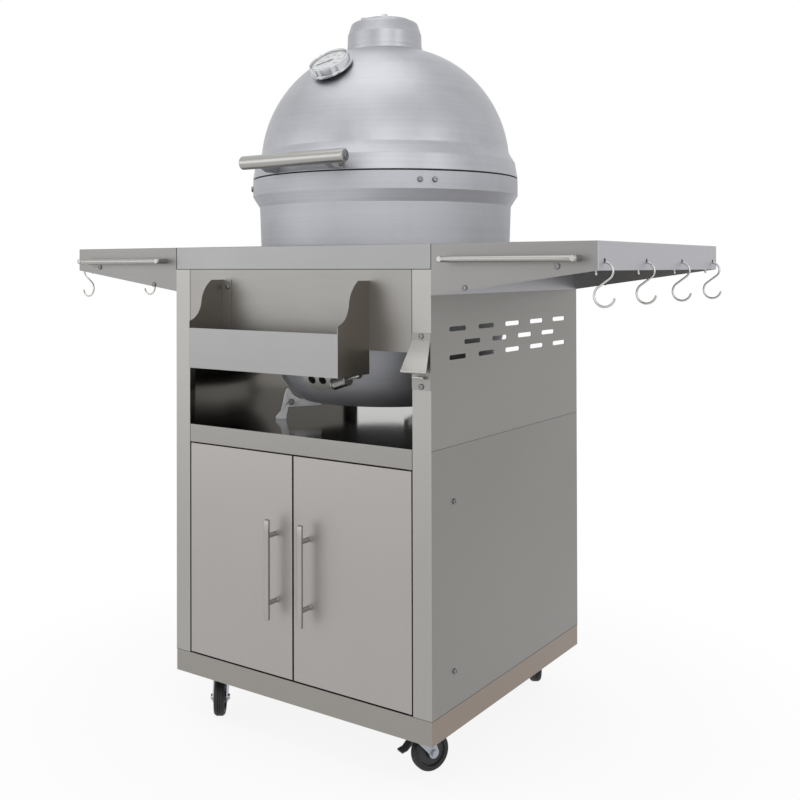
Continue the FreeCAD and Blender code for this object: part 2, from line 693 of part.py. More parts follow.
for word, side in (("left", -1), ("right", 1)):
    outer = [
        (HALF_W, TOP),
        (HALF_W, down("shelf_root")),
        (HALF_W + " + shelf_reach", down("shelf_edge")),
        (HALF_W + " + shelf_reach", TOP),
    ]
    inner = [
        (HALF_W + " + skin", TOP + " - skin"),
        (HALF_W + " + skin", down("shelf_root") + " - 6"),
        (HALF_W + " + shelf_reach - skin", down("shelf_edge") + " - 6"),
        (HALF_W + " + shelf_reach - skin", TOP + " - skin"),
    ]
    blank = prism("%s_shelf_blank" % word, "XZ_Plane", mirror_if(side, outer), "-" + HALF_D, HALF_D)
    blank = softened(
        "%s_shelf_folds" % word,
        blank,
        number("fold_radius"),
        lambda a, b: (upright(a, b) and abs(a.x) > number(HALF_W) + 1)
        or (min(a.z, b.z) > number(TOP) - 1 and max(abs(a.x), abs(b.x)) > number(HALF_W) + 1),
    )
    room = prism(
        "%s_shelf_room" % word, "XZ_Plane", mirror_if(side, inner), "skin - " + HALF_D, HALF_D + " - skin"
    )
    hem_span = (HALF_W + " + shelf_reach - shelf_hem", HALF_W + " + shelf_reach - skin")
    hole_from = HALF_W + " + shelf_reach - 8"
    if side < 0:
        hem_span = ("-(%s)" % hem_span[1], "-(%s)" % hem_span[0])
        hole_from = "-(%s + shelf_reach + 8)" % HALF_W
    hem = box(
        "%s_shelf_hem" % word,
        hem_span,
        ("skin - " + HALF_D, HALF_D + " - skin"),
        (down("shelf_edge") + " + 2", down("shelf_edge") + " + 2 + skin"),
    )
    holes = [
        rod("hook_hole", "X", (hole_from, "(%s)*hook_pitch" % place_in_row, down("hook_hole_drop")), "hook_hole_r", "16")
        for place_in_row in HOOK_ROWS
    ]
    open_pan = cut("%s_shelf_pan" % word, blank, [room])
    node(cut("%s_shelf_holes" % word, joined("%s_shelf_hemmed" % word, [open_pan, hem]), holes), "%s_shelf" % word)


def rail_bar(word, side):
    """A towel bar with its two posts, in front of a shelf's apron."""
    start = HALF_W + " + towel_inset"
    if side < 0:
        start = "-(%s + towel_inset + towel_length)" % HALF_W
    axis_y = "-%s - towel_reach" % HALF_D
    bar = rod("towel_bar_" + word, "X", (start, axis_y, down("towel_drop")), "towel_bar_r", "towel_length")
    posts = [
        rod("towel_post", "Y", ("%s + %s" % (start, shift), axis_y + " - towel_post_r", down("towel_drop")),
            "towel_post_r", "towel_reach + towel_post_r")
        for shift in ("towel_post_r", "towel_length - towel_post_r")
    ]
    return joined("towel_rail_" + word, [bar] + posts)


node(together("towel_rail_pair", [rail_bar("left", -1), rail_bar("right", 1)]), "towel_rails")

# Bottle rack: front, floor and two shaped ends with flanges against the front panel.
RACK_Y = "-" + HALF_D + " - rack_depth"
rack_end = [
    ("-" + HALF_D, down("rack_top")),
    ("-" + HALF_D + " - rack_crest", down("rack_top")),
    ("-" + HALF_D + " - 0.66*rack_depth", down("(rack_top + 46)"), "60"),
    (RACK_Y, down("(rack_low - rack_front - 14)"), "-42"),
    (RACK_Y, down("rack_low")),
    ("-" + HALF_D, down("rack_low")),
]
rack_pieces = [
    box("rack_face", ("-rack_width/2", "rack_width/2"), (RACK_Y, RACK_Y + " + skin"),
        (down("rack_low"), down("rack_low") + " + rack_front")),
    box("rack_floor", ("-rack_width/2", "rack_width/2"), (RACK_Y, "-" + HALF_D),
        (down("rack_low"), down("rack_low") + " + skin")),
]
for side in (-1, 1):
    span = ("rack_width/2 - skin", "rack_width/2")
    lip = ("rack_width/2 - rack_lip", "rack_width/2")
    if side < 0:
        span = ("-(%s)" % span[1], "-(%s)" % span[0])
        lip = ("-(%s)" % lip[1], "-(%s)" % lip[0])
    rack_pieces.append(prism("rack_end", "YZ_Plane", rack_end, *span))
    rack_pieces.append(
        box("rack_flange", lip, ("-%s - skin" % HALF_D, "-" + HALF_D), (down("rack_low"), down("rack_top")))
    )
node(joined("rack_folded", rack_pieces), "bottle_rack")


def sheet_between(upper, lower, thick):
    """A flat sheet from one level edge to a wider one, as a solid with eight corners."""
    corners = []
    for half, y, z in (upper, lower):
        for shift in (0.0, thick):
            corners.append([FreeCAD.Vector(-half, y + shift, z), FreeCAD.Vector(half, y + shift, z)])
    (a, b), (e, f), (c, d), (g, h) = corners
    faces = [(a, b, d, c), (e, f, h, g), (a, b, f, e), (c, d, h, g), (a, c, g, e), (b, d, h, f)]
    shell = Part.makeShell([Part.Face(Part.makePolygon(list(face) + [face[0]])) for face in faces])
    solid = Part.makeSolid(shell)
    if solid.Volume < 0:
        solid.reverse()
    return solid


# Bottle opener on the right stile: plate, sloping hood and the lip that lifts the crown.
opener_middle = number(HALF_W + " - stile/2")
opener_face = number("-" + HALF_D + " - opener_sheet")
hood = sheet_between(
    (number("opener_width/2"), opener_face - number("opener_sheet") * 0.2, number(down("opener_drop")) - 13),
    (number("opener_hood/2"), number("-" + HALF_D + " - opener_reach"), number(down("opener_drop")) - 71),
    number("opener_sheet"),
)
hood.translate(FreeCAD.Vector(opener_middle, 0, 0))
opener_plate = Part.makeBox(
    number("opener_width"),
    number("opener_sheet"),
    number("opener_height"),
    FreeCAD.Vector(opener_middle - number("opener_width/2"), opener_face, number(down("(opener_drop + opener_height)"))),
)
opener_lip = Part.makeBox(
    24, 13, number("opener_sheet"), FreeCAD.Vector(opener_middle - 15, opener_face - 12, number(down("opener_drop")) - 83)
)
opener_cheeks = [
    Part.Face(
        Part.makePolygon(
            [
                FreeCAD.Vector(opener_middle + shift, opener_face + 0.5, number(down("opener_drop")) - 11),
                FreeCAD.Vector(opener_middle + shift, number("-" + HALF_D + " - opener_reach") + 3, number(down("opener_drop")) - 68),
                FreeCAD.Vector(opener_middle + shift, opener_face + 0.5, number(down("opener_drop")) - 68),
                FreeCAD.Vector(opener_middle + shift, opener_face + 0.5, number(down("opener_drop")) - 11),
            ]
        )
    ).extrude(FreeCAD.Vector(number("opener_sheet"), 0, 0))
    for shift in (-17.0, 15.0)
]
opener = opener_plate.fuse([hood, opener_lip] + opener_cheeks).removeSplitter()
node(shaped("opener_shape", opener), "bottle_opener")


def button(spot, facing):
    """A button head with a hexagon socket, seated on its underside."""
    radius, height = number("screw_r"), number("screw_h")
    head = Part.makeCylinder(radius, height)
    rims = [e for e in head.Edges if abs(e.CenterOfMass.z - height) < 1e-6]
    head = head.makeFillet(height * 0.55, rims)
    hexagon = Part.makePolygon(
        [
            FreeCAD.Vector(radius * 0.42 * math.cos(math.radians(60 * k)), radius * 0.42 * math.sin(math.radians(60 * k)), height - 1.4)
            for k in range(7)
        ]
    )
    head = head.cut(Part.Face(hexagon).extrude(FreeCAD.Vector(0, 0, 3)))
    head.Placement = FreeCAD.Placement(FreeCAD.Vector(*spot), FreeCAD.Rotation(FreeCAD.Vector(0, 0, 1), FreeCAD.Vector(*facing)))
    return head


def screws():
    """Every visible button head of the cart and of the kamado's bowl."""
    heads = []
    front, side = number(HALF_D), number(HALF_W)
    top = number(TOP)
    rack = front + number("skin")
    for x in (-1, 1):
        for height in (number(down("rack_top")) - 15, number(down("rack_low")) + 22):
            heads.append(button((x * (number("rack_width/2") - 14), -rack, height), (0, -1, 0)))
        for fall in ("side_screw_drop", "side_screw_drop + side_screw_span"):
            spot = (x * side, number("side_screw_inset") - front, top - number(fall))
            heads.append(button(spot, (x, 0, 0)))
        for word in ("apron_screw", "apron_root"):
            reach, fall = number(word + "_reach"), number(word + "_drop")
            for y in (-1, 1):
                heads.append(button((x * (side + reach), y * front, top - fall), (0, y, 0)))
    for height in (number(down("opener_drop")) - 5.6, number(down("(opener_drop + opener_height)")) + 6):
        heads.append(button((opener_middle, opener_face, height), (0, -1, 0)))
    band = number("band_r")
    for turn in (-53.5, -47.5, 47.5, 53.5):
        angle = math.radians(turn)
        spoke = (math.sin(angle), -math.cos(angle), 0)
        spot = (band * spoke[0], number("kamado_shift") + band * spoke[1], top + number("(band_rise + seam_rise)/2"))
        flat = Part.makeCylinder(number("screw_r") * 1.15, 1.6, FreeCAD.Vector(*spot) - FreeCAD.Vector(*spoke) * 0.6, FreeCAD.Vector(*spoke))
        flat = flat.cut(Part.makeCylinder(band + 0.02, 60, FreeCAD.Vector(0, number("kamado_shift"), top + 100)))
        head = button([a + b for a, b in zip(spot, spoke)], spoke)
        heads.append(flat.fuse(head).removeSplitter())
    mount = number(CASTER_TOP)
    for word, side_x, side_y, turn in CASTERS:
        middle_x = side_x * (side - number("caster_inset_x"))
        middle_y = side_y * (front - number("caster_inset_y"))
        for x in (-37, 37):
            for y in (-24, 24):
                heads.append(
                    button((middle_x + x, middle_y + y, mount - number("caster_plate_thick")), (0, 0, -1))
                )
    return Part.makeCompound(heads)


node(shaped("screw_heads", screws()), "screws")

# Doors: folded pans with a lip inside, blocks with bushes at the pivots, and liners.
DOOR_LOW = "(base_low + skirt + door_gap)"
DOOR_HIGH = "(counter_height - shelf_drop - rail_height - door_gap)"
DOOR_EDGE = HALF_W + " - stile - door_gap"
PIVOT_X = "(%s - pivot_inset)" % DOOR_EDGE
PIVOT_Y = "(pivot_inset - %s)" % HALF_D


def spans(side, low, high):
    """The same pair of values on the right, or mirrored to the left."""
    return (low, high) if side > 0 else ("-(%s)" % high, "-(%s)" % low)


for word, side in (("left", -1), ("right", 1)):
    panel = box(
        word + "_door_block",
        spans(side, "door_split/2", DOOR_EDGE),
        ("-" + HALF_D, "door_thick - " + HALF_D),
        (DOOR_LOW, DOOR_HIGH),
    )
    panel = softened(
        word + "_door_folds",
        panel,
        number("fold_radius") * 0.6,
        lambda a, b: max(a.y, b.y) < 1e-6,
    )
    room = box(
        word + "_door_room",
        spans(side, "door_split/2 + skin", DOOR_EDGE + " - skin"),
        ("skin - " + HALF_D, "door_thick - skin - " + HALF_D),
        (DOOR_LOW + " + skin", DOOR_HIGH + " - skin"),
    )
    window = box(
        word + "_door_window",
        spans(side, "door_split/2 + door_hem", DOOR_EDGE + " - pivot_block"),
        ("skin - " + HALF_D, "door_thick + 1 - " + HALF_D),
        (DOOR_LOW + " + door_hem", DOOR_HIGH + " - door_hem"),
    )
    hollow_door = cut(word + "_door_pan", panel, [room, window])
    blocks = []
    bores = []
    for low in (DOOR_LOW, DOOR_HIGH + " - pivot_block"):
        blocks.append(
            box(
                "pivot_block",
                spans(side, DOOR_EDGE + " - pivot_block", DOOR_EDGE + " - skin/2"),
                ("skin/2 - " + HALF_D, "door_thick - skin/2 - " + HALF_D),
                (low + " + skin/2", low + " + pivot_block - skin/2"),
            )
        )
    pivot_x = PIVOT_X if side > 0 else "-" + PIVOT_X
    for low in (DOOR_LOW + " - 1", DOOR_HIGH + " - pivot_length - 1"):
        bores.append(rod("pivot_bore", "Z", (pivot_x, PIVOT_Y, low), "pivot_r + fit", "pivot_length + 2"))
    solid_door = joined(word + "_door_body", [hollow_door] + blocks)
    node(cut(word + "_door_bored", solid_door, bores), word + "_door")

    bar_x = ("handle_inset" if side > 0 else "-handle_inset")
    bar_y = "-%s - handle_reach" % HALF_D
    bar = rod(
        "handle_bar", "Z", (bar_x, bar_y, down("(handle_drop + handle_bar_length/2)")), "handle_bar_r", "handle_bar_length"
    )
    posts = [
        rod("handle_post", "Y", (bar_x, bar_y, down("(handle_drop + (%s)*handle_post_pitch)" % share)),
            "handle_post_r", "handle_reach")
        for share in (-0.5, 0.5)
    ]
    node(joined(word + "_handle_joined", [bar] + posts), word + "_door_handle")

pins = []
for side in (-1, 1):
    pivot_x = PIVOT_X if side > 0 else "-" + PIVOT_X
    pins.append(
        joined(
            "lower_pin",
            [
                rod("pin", "Z", (pivot_x, PIVOT_Y, BASE_TOP), "pivot_r", "door_gap + pivot_length - 1"),
                rod("collar", "Z", (pivot_x, PIVOT_Y, BASE_TOP), "pivot_r + 1.6", "door_gap - air"),
            ],
        )
    )
    pins.append(
        joined(
            "upper_pin",
            [
                rod("pin", "Z", (pivot_x, PIVOT_Y, DOOR_HIGH + " - pivot_length + 1"), "pivot_r", "door_gap + pivot_length - 1"),
                rod("collar", "Z", (pivot_x, PIVOT_Y, DOOR_HIGH + " + air"), "pivot_r + 1.6", "door_gap - air"),
            ],
        )
    )
node(together("pin_set", pins), "door_hinge_pins")

catches = []
for side in (-1, 1):
    catches.append(
        box(
            "catch",
            spans(side, "10", "10 + catch_width"),
            ("door_thick + air - " + HALF_D, "door_thick + air + catch_depth - " + HALF_D),
            (RAIL_LOW + " - catch_height", RAIL_LOW),
        )
    )
node(together("catch_pair", catches), "door_catches")

# Kamado bowl: bands at the seam, a tapering wall and ledges for the two grates.
BOWL_SIDE = [
    ("0", down("bowl_low")),
    ("bowl_foot_r", down("bowl_low")),
    ("haunch_r", down("haunch_drop"), "foot_bend_r"),
    ("flank_r", down("flank_drop"), "haunch_bend_r"),
    ("bowl_r", TOP, "flank_bend_r"),
]
bowl_shell = turned(
    "bowl_shell",
    BOWL_SIDE
    + [
        ("bowl_r + chamfer_flare", up("chamfer_rise")),
        ("band_r", up("band_rise")),
        ("band_r", up("seam_rise")),
        ("band_r - rim_width", up("seam_rise")),
        ("band_r - rim_width", up("grate_rise")),
        ("band_r - rim_width - grate_ledge", up("grate_rise")),
        ("bowl_r - wall", TOP),
        ("flank_r - wall", down("flank_drop"), "-(flank_bend_r - wall)"),
        ("flank_r - wall - 4", down("coal_grate_drop")),
        ("coal_grate_r - coal_ledge", down("coal_grate_drop")),
        ("haunch_r - wall", down("(haunch_drop - 6)")),
        ("bowl_foot_r - wall", down("bowl_low") + " + wall"),
        ("0", down("bowl_low") + " + wall"),
    ],
)

# The draft vent's own frame: its plate's face is the plane z = 0, looking outwards.
vent_turn = FreeCAD.Rotation(FreeCAD.Vector(1, 0, 0), 90 + number("draft_tilt"))
vent_spot = FreeCAD.Vector(0, number("kamado_shift - draft_face"), number(down("draft_drop")))
vent_frame = FreeCAD.Placement(vent_spot, vent_turn)


def in_vent(shape):
    """Moves a solid from the vent's frame into the cart's."""
    shape.Placement = vent_frame.multiply(shape.Placement)
    return shape


def disc_at(radius, low, high, x=0.0, y=0.0):
    """A round plate or post along Z between two heights."""
    return Part.makeCylinder(radius, high - low, FreeCAD.Vector(x, y, low))


draft_hole = shaped("draft_hole", in_vent(disc_at(number("draft_bore_r"), -60.0, 10.0)))
node(cut("bowl_bored", bowl_shell, [draft_hole]), "bowl")

node(
    turned(
        "gasket_ring",
        [
            ("band_r - 4 - gasket_width", up("seam_rise")),
            ("band_r - 4", up("seam_rise")),
            ("band_r - 4", up("(seam_rise + seam_gap - air)")),
            ("band_r - 4 - gasket_width", up("(seam_rise + seam_gap - air)")),
        ],
    ),
    "bowl_gasket",
)

# Cooking grate: parallel rods inside a ring. Charcoal grate: a slotted casting.
def cooking_grate():
    radius = number("band_r - rim_width") - 3.0
    thick = number("grate_rod_r")
    height = number(up("grate_rise")) + thick
    middle = FreeCAD.Vector(0, number("kamado_shift"), height)
    ring = Part.makeTorus(radius - thick, thick, middle)
    rods = []
    count = int((radius - 3 * thick) // number("grate_pitch"))
    for step in range(-count, count + 1):
        x = step * number("grate_pitch")
        half = math.sqrt((radius - thick) ** 2 - x ** 2)
        rods.append(Part.makeCylinder(thick * 0.85, 2 * half, middle + FreeCAD.Vector(x, -half, 0), FreeCAD.Vector(0, 1, 0)))
    return ring.fuse(rods)


node(shaped("cooking_grate_shape", cooking_grate()), "cooking_grate")


def charcoal_grate():
    radius, thick = number("coal_grate_r"), number("coal_grate_thick")
    low = number(down("coal_grate_drop"))
    plate = Part.makeCylinder(radius, thick, FreeCAD.Vector(0, number("kamado_shift"), low))
    slots = []
    for step in range(-6, 7):
        x = step * 31.0
        half = math.sqrt((radius - 22) ** 2 - x ** 2)
        for low_y, high_y in ((-half, -9.0), (9.0, half)):
            slots.append(
                Part.makeBox(13, high_y - low_y, thick + 2, FreeCAD.Vector(x - 6.5, number("kamado_shift") + low_y, low - 1))
            )
    return plate.cut(Part.makeCompound(slots))


node(shaped("charcoal_grate_shape", charcoal_grate()), "charcoal_grate")

# Lid: band, ridge and dome up to the neck, with the same wall all over.
LID_LOW = up("(seam_rise + seam_gap)")
lid_outer = [
    ("band_r", LID_LOW),
    ("band_r - lid_taper", LID_LOW + " + lid_band"),
    ("dome_r + 3", up("(lid_ridge_rise - 8)")),
    ("dome_r", up("lid_ridge_rise")),
    ("shoulder_r", up("shoulder_rise"), "dome_bend_r"),
    ("neck_r", up("neck_rise"), "tangent"),
    ("neck_r", up("(neck_rise + neck_height)")),
]
lid_inner = [
    ("chimney_r", up("(neck_rise + neck_height)")),
    ("chimney_r", up("neck_rise") + " - wall"),
    ("shoulder_r - 0.66*wall", up("shoulder_rise") + " - 0.8*wall", "-230"),
    ("dome_r - wall", up("lid_ridge_rise"), "-(dome_bend_r - wall)"),
    ("band_r - rim_width", up("(lid_ridge_rise - 30)")),
    ("band_r - rim_width", LID_LOW),
]
lid_shell = turned("lid_shell", lid_outer + lid_inner)

# Direction of the thermometer: its face looks forwards and up.
tilt = math.radians(number("gauge_tilt"))
gauge_way = FreeCAD.Vector(0, -math.cos(tilt), math.sin(tilt))
gauge_face = FreeCAD.Vector(0, number("kamado_shift - gauge_reach"), number(up("gauge_rise")))
stem_hole = Part.makeCylinder(number("stem_r") + 0.5, 60, gauge_face - gauge_way * 60, gauge_way)
lid_bored = cut("lid_bored", lid_shell, [shaped("stem_hole", stem_hole)])
node(lid_bored, "lid")

# Handle of the lid: a straight tube on two brackets that are bolted to the band.
BAR_Y = "(kamado_shift - band_r - lid_bar_gap - lid_bar_r)"


def band_cutter(low, taper=0.0, height=200.0):
    """The band's own surface, for pieces that are seated on it."""
    radius = number("band_r") + 0.02
    middle = FreeCAD.Vector(0, number("kamado_shift"), low)
    if taper:
        return Part.makeCone(radius, radius - taper, height, middle)
    return Part.makeCylinder(radius, height, middle)


def lid_cutter():
    """The same for the lid's band, which narrows on its way up."""
    return band_cutter(number(LID_LOW), number("lid_taper"), number("lid_band"))


def round_bar():
    """The closed tube with its two ends slightly rounded."""
    radius, length = number("lid_bar_r"), number("lid_bar_length")
    start = FreeCAD.Vector(-length / 2, number(BAR_Y), number(up("lid_bar_rise")))
    bar = Part.makeCylinder(radius, length, start, FreeCAD.Vector(1, 0, 0))
    ends = [e for e in bar.Edges if abs(abs(e.CenterOfMass.x) - length / 2) < 1e-6 and e.Length > radius * 6]
    return bar.makeFillet(2.0, ends)


node(shaped("lid_bar_shape", round_bar()), "lid_handle")


def handle_brackets():
    """Two cast arms from pads on the band to a saddle under the tube."""
    band, shift = number("band_r"), number("kamado_shift")
    bar_y, bar_z = number(BAR_Y), number(up("lid_bar_rise"))
    half = number("bracket_width/2")
    low = number(LID_LOW) + 1.0
    pieces = []
    for side in (-1, 1):
        x = side * number("bracket_spread")
        seat = shift - math.sqrt(band ** 2 - (abs(x) - half) ** 2)
        foot = [(seat + 4, low), (bar_y + 24, low), (bar_y + 4, bar_z - 11), (bar_y - 3, bar_z - 4)]
        top = [(bar_y + 6, bar_z + 9), (bar_y + 19, bar_z + 1), (seat - 9, low + 19), (seat + 4, low + 19)]
        section = [FreeCAD.Vector(x - half, y, z) for y, z in foot + top]
        arm = Part.Face(Part.makePolygon(section + [section[0]])).extrude(FreeCAD.Vector(2 * half, 0, 0))
        arm = arm.cut(lid_cutter())
        arm = arm.cut(
            Part.makeCylinder(number("lid_bar_r") + 0.02, 4 * half, FreeCAD.Vector(x - 2 * half, bar_y, bar_z), FreeCAD.Vector(1, 0, 0))
        )
        pieces.append(max(arm.Solids, key=lambda s: s.Volume))
    return Part.makeCompound(pieces)


node(shaped("bracket_pair", handle_brackets()), "handle_brackets")


def handle_bolts():
    """A bolt head on the outer side of each bracket's foot and in each end of the tube."""
    heads = []
    band, shift = number("band_r"), number("kamado_shift")
    for side in (-1, 1):
        end = (side * number("lid_bar_length/2"), number(BAR_Y), number(up("lid_bar_rise")))
        heads.append(button(end, (side, 0, 0)))
        x = side * (number("bracket_spread") + number("bracket_width/2"))
        y = shift - math.sqrt(band ** 2 - x ** 2) - 9.0
        heads.append(button((x, y, number(LID_LOW) + 10), (side, 0, 0)))
    return Part.makeCompound(heads)


node(shaped("handle_bolt_pair", handle_bolts()), "handle_bolts")

# Lid hinge behind the kamado: a bracket on the bowl, a strap on the lid, and the pin.
HINGE_Y = "(kamado_shift + band_r + hinge_reach)"
HINGE_Z = up("(seam_rise + seam_gap/2)")


def hinge_half(outer, seat_cutter, low, high, arm_low, arm_high):
    """A pad on the band with two ears that end round the hinge's axis."""
    band, shift = number("band_r"), number("kamado_shift")
    axis_y, axis_z = number(HINGE_Y), number(HINGE_Z)
    thick = number("hinge_ear_thick")
    pad_back = shift + band + 12
    pad = Part.makeBox(2 * outer, 24, high - low, FreeCAD.Vector(-outer, pad_back - 24, low))
    pad = pad.cut(seat_cutter)
    pieces = [max(pad.Solids, key=lambda s: s.Volume)]
    for x in (-outer, outer - thick):
        rows = [(pad_back - 1, arm_low), (axis_y, axis_z - number("hinge_ear_r") + 2), (axis_y, axis_z + number("hinge_ear_r") - 2), (pad_back - 1, arm_high)]
        section = [FreeCAD.Vector(x, y, z) for y, z in rows]
        pieces.append(Part.Face(Part.makePolygon(section + [section[0]])).extrude(FreeCAD.Vector(thick, 0, 0)))
        pieces.append(
            Part.makeCylinder(number("hinge_ear_r"), thick, FreeCAD.Vector(x, axis_y, axis_z), FreeCAD.Vector(1, 0, 0))
        )
    bore = Part.makeCylinder(
        number("hinge_pin_r + fit"), 4 * outer, FreeCAD.Vector(-2 * outer, axis_y, axis_z), FreeCAD.Vector(1, 0, 0)
    )
    return pieces[0].fuse(pieces[1:]).cut(bore).removeSplitter()


bowl_top, lid_low = number(up("seam_rise")), number(LID_LOW)
bracket = hinge_half(
    number("hinge_half"), band_cutter(bowl_top - 90), bowl_top - 35, bowl_top - 1, bowl_top - 33, bowl_top - 3
)
node(shaped("bracket_shape", bracket), "hinge_bracket")
strap_half = number("hinge_half - hinge_ear_thick - air")
strap = hinge_half(strap_half, lid_cutter(), lid_low + 1, lid_low + 11, lid_low + 1, lid_low + 11)
node(shaped("strap_shape", strap), "lid_hinge_strap")
pin_half = number("hinge_half") + 4
pin_axis = FreeCAD.Vector(-pin_half, number(HINGE_Y), number(HINGE_Z))
pin = Part.makeCylinder(number("hinge_pin_r"), 2 * pin_half, pin_axis, FreeCAD.Vector(1, 0, 0))
for x in (-pin_half, number("hinge_half") + 0.3):
    cap = Part.makeCylinder(number("hinge_pin_r") + 3, pin_half - number("hinge_half") - 0.3,
                            FreeCAD.Vector(x, pin_axis.y, pin_axis.z), FreeCAD.Vector(1, 0, 0))
    pin = pin.fuse(cap)
node(shaped("pin_shape", pin.removeSplitter()), "hinge_pin")

# Thermometer: case with a collar that follows the dome, stem, needle and lens.
def along_gauge(radius, back, front):
    """A round piece on the thermometer's axis between two depths behind its face."""
    return Part.makeCylinder(radius, back - front, gauge_face - gauge_way * back, gauge_way)


rim_r = number("gauge_r - gauge_rim")
case = along_gauge(number("gauge_r"), number("gauge_thick"), 0.0)
case = case.makeFillet(1.5, [e for e in case.Edges if (e.CenterOfMass - gauge_face).Length < 1])
flange = along_gauge(number("gauge_r + gauge_flange"), number("gauge_thick"), number("gauge_thick") - 5.0)
case = case.fuse(flange).cut(along_gauge(rim_r, number("gauge_well"), -1.0))
needle_post = along_gauge(number("needle_post_r"), number("gauge_well") + 1.0, number("needle_front"))
collar = along_gauge(number("gauge_collar_r"), number("gauge_stand") + 5.0, number("gauge_thick") - 1.0)
collar = collar.cut(cart_shape(lid_bored))
collar = max(collar.Solids, key=lambda solid: solid.Volume)
stem = along_gauge(number("stem_r"), number("gauge_stand") + 30.0, number("gauge_thick") - 1.0)
probe = along_gauge(number("probe_r"), number("probe_length"), number("gauge_thick"))
case = case.fuse([collar, stem, probe, needle_post]).removeSplitter()
node(shaped("case_shape", case), "thermometer_case")
lens = along_gauge(rim_r - 0.1, 2.2, 0.4)
node(shaped("lens_shape", lens), "thermometer_lens")


def needle():
    """A flat pointer with a bored hub, just above the dial."""
    thick, tip = number("needle_thick"), number("needle_length")
    hub = Part.makeCylinder(4.0, thick)
    rows = [(-1.8, -10, 0), (1.8, -10, 0), (0.7, tip, 0), (-0.7, tip, 0), (-1.8, -10, 0)]
    blade = Part.Face(Part.makePolygon([FreeCAD.Vector(*p) for p in rows])).extrude(FreeCAD.Vector(0, 0, thick))
    bore = Part.makeCylinder(number("needle_post_r + fit"), 3 * thick, FreeCAD.Vector(0, 0, -thick))
    pointer = hub.fuse(blade).cut(bore).removeSplitter()
    turn = FreeCAD.Rotation(FreeCAD.Vector(1, 0, 0), 90 - number("gauge_tilt"))
    lean = FreeCAD.Rotation(FreeCAD.Vector(0, 0, 1), 118)
    back = gauge_face - gauge_way * (number("needle_front") + thick)
    pointer.Placement = FreeCAD.Placement(back, turn.multiply(lean))
    return pointer


node(shaped("needle_shape", needle()), "thermometer_needle")

# Vent cap on the neck, with the turning disc on its stud.
CAP_LOW = "(counter_height + neck_rise + neck_height)"
CAP_TOP = "(counter_height + neck_rise + neck_height + cap_height)"
cap_body = turned(
    "cap_body",
    [
        ("neck_r - 1", CAP_LOW),
        ("neck_r - 2", CAP_TOP + " - 27"),
        ("cap_top_r", CAP_TOP + " - 6"),
        ("cap_top_r - 7", CAP_TOP, "8"),
        ("0", CAP_TOP),
        ("0", CAP_TOP + " - 5"),
        ("chimney_r + 4", CAP_TOP + " - 5"),
        ("chimney_r + 6", CAP_LOW),
    ],
)


def ring_of(radius, count, offset=0.0):
    steps = [math.radians(360.0 * k / count + offset) for k in range(count)]
    return [(radius * math.cos(a), radius * math.sin(a)) for a in steps]


def port_cutters(low, high):
    return [
        rod("port", "Z", (repr(round(x, 4)), "kamado_shift + %r" % round(y, 4), low), "vent_port_r", "(%s) - (%s)" % (high, low))
        for x, y in ring_of(number("vent_port_ring"), 4, 45)
    ]


cap_open = cut("cap_open", cap_body, port_cutters(CAP_TOP + " - 8", CAP_TOP + " + 4"))
DISC_LOW = "(%s + air)" % CAP_TOP
DISC_HIGH = "(%s + air + vent_disc_thick)" % CAP_TOP
stud = rod("stud", "Z", ("0", "kamado_shift", CAP_TOP + " - 4"), "stud_r", "stud_height - 2")
nut = rod("stud_nut", "Z", ("0", "kamado_shift", DISC_HIGH + " + air"), "stud_r + 3.5",
          "stud_height - vent_disc_thick - 2*air")
node(joined("cap_joined", [cap_open, stud, nut]), "vent_cap")

disc_plate = rod("disc_plate", "Z", ("0", "kamado_shift", DISC_LOW), "vent_disc_r", "vent_disc_thick")
disc_bore = rod("disc_bore", "Z", ("0", "kamado_shift", DISC_LOW + " - 1"), "stud_r + fit", "vent_disc_thick + 2")
disc_open = cut("disc_open", disc_plate, [disc_bore] + port_cutters(DISC_LOW + " - 1", DISC_HIGH + " + 1"))
knob_angle = math.radians(216.0)
knob = rod(
    "disc_knob",
    "Z",
    (
        "knob_ring*(%r)" % round(math.cos(knob_angle), 5),
        "kamado_shift + knob_ring*(%r)" % round(math.sin(knob_angle), 5),
        DISC_LOW + " + 1",
    ),
    "knob_r",
    "vent_disc_thick + knob_height - 1",
)
node(joined("disc_joined", [disc_open, knob]), "vent_disc")

# Draft vent: a round housing on the bowl, its ported plate and a turning disc with a grip.
bowl_mass = turned(
    "bowl_mass",
    [
        ("0", down("bowl_low") + " - seat"),
        ("bowl_foot_r + seat", down("bowl_low") + " - seat"),
        ("haunch_r + seat", down("haunch_drop"), "foot_bend_r + seat"),
        ("flank_r + seat", down("flank_drop"), "haunch_bend_r + seat"),
        ("bowl_r + seat", TOP, "flank_bend_r"),
        ("0", TOP),
    ],
)
bowl_mass_shape = cart_shape(bowl_mass)
doc.removeObject(bowl_mass.Name)
plate, air = number("draft_plate"), number("air")
ports = [
    disc_at(number("draft_port_r"), -80.0, 20.0, x, y) for x, y in ring_of(number("draft_port_ring"), 4, 45)
]
housing = disc_at(number("draft_r"), -50.0, 0.0).cut(disc_at(number("draft_bore_r"), -60.0, -plate)).cut(ports)
housing = in_vent(housing).cut(bowl_mass_shape)
housing = max(housing.Solids, key=lambda solid: solid.Volume)
PIVOT = 3.0
pivot_post = disc_at(PIVOT, -plate, plate + 2 * air + 2.5).fuse(disc_at(2 * PIVOT, plate + 2 * air, plate + 2 * air + 2.5))
node(shaped("draft_housing", housing.fuse(in_vent(pivot_post)).removeSplitter()), "draft_frame")

DISC_FACE = plate + air
GRIP_Z = DISC_FACE + number("grip_lift")
grip_length = number("grip_turns*grip_pitch + 2*grip_wire_r + 2*seat")
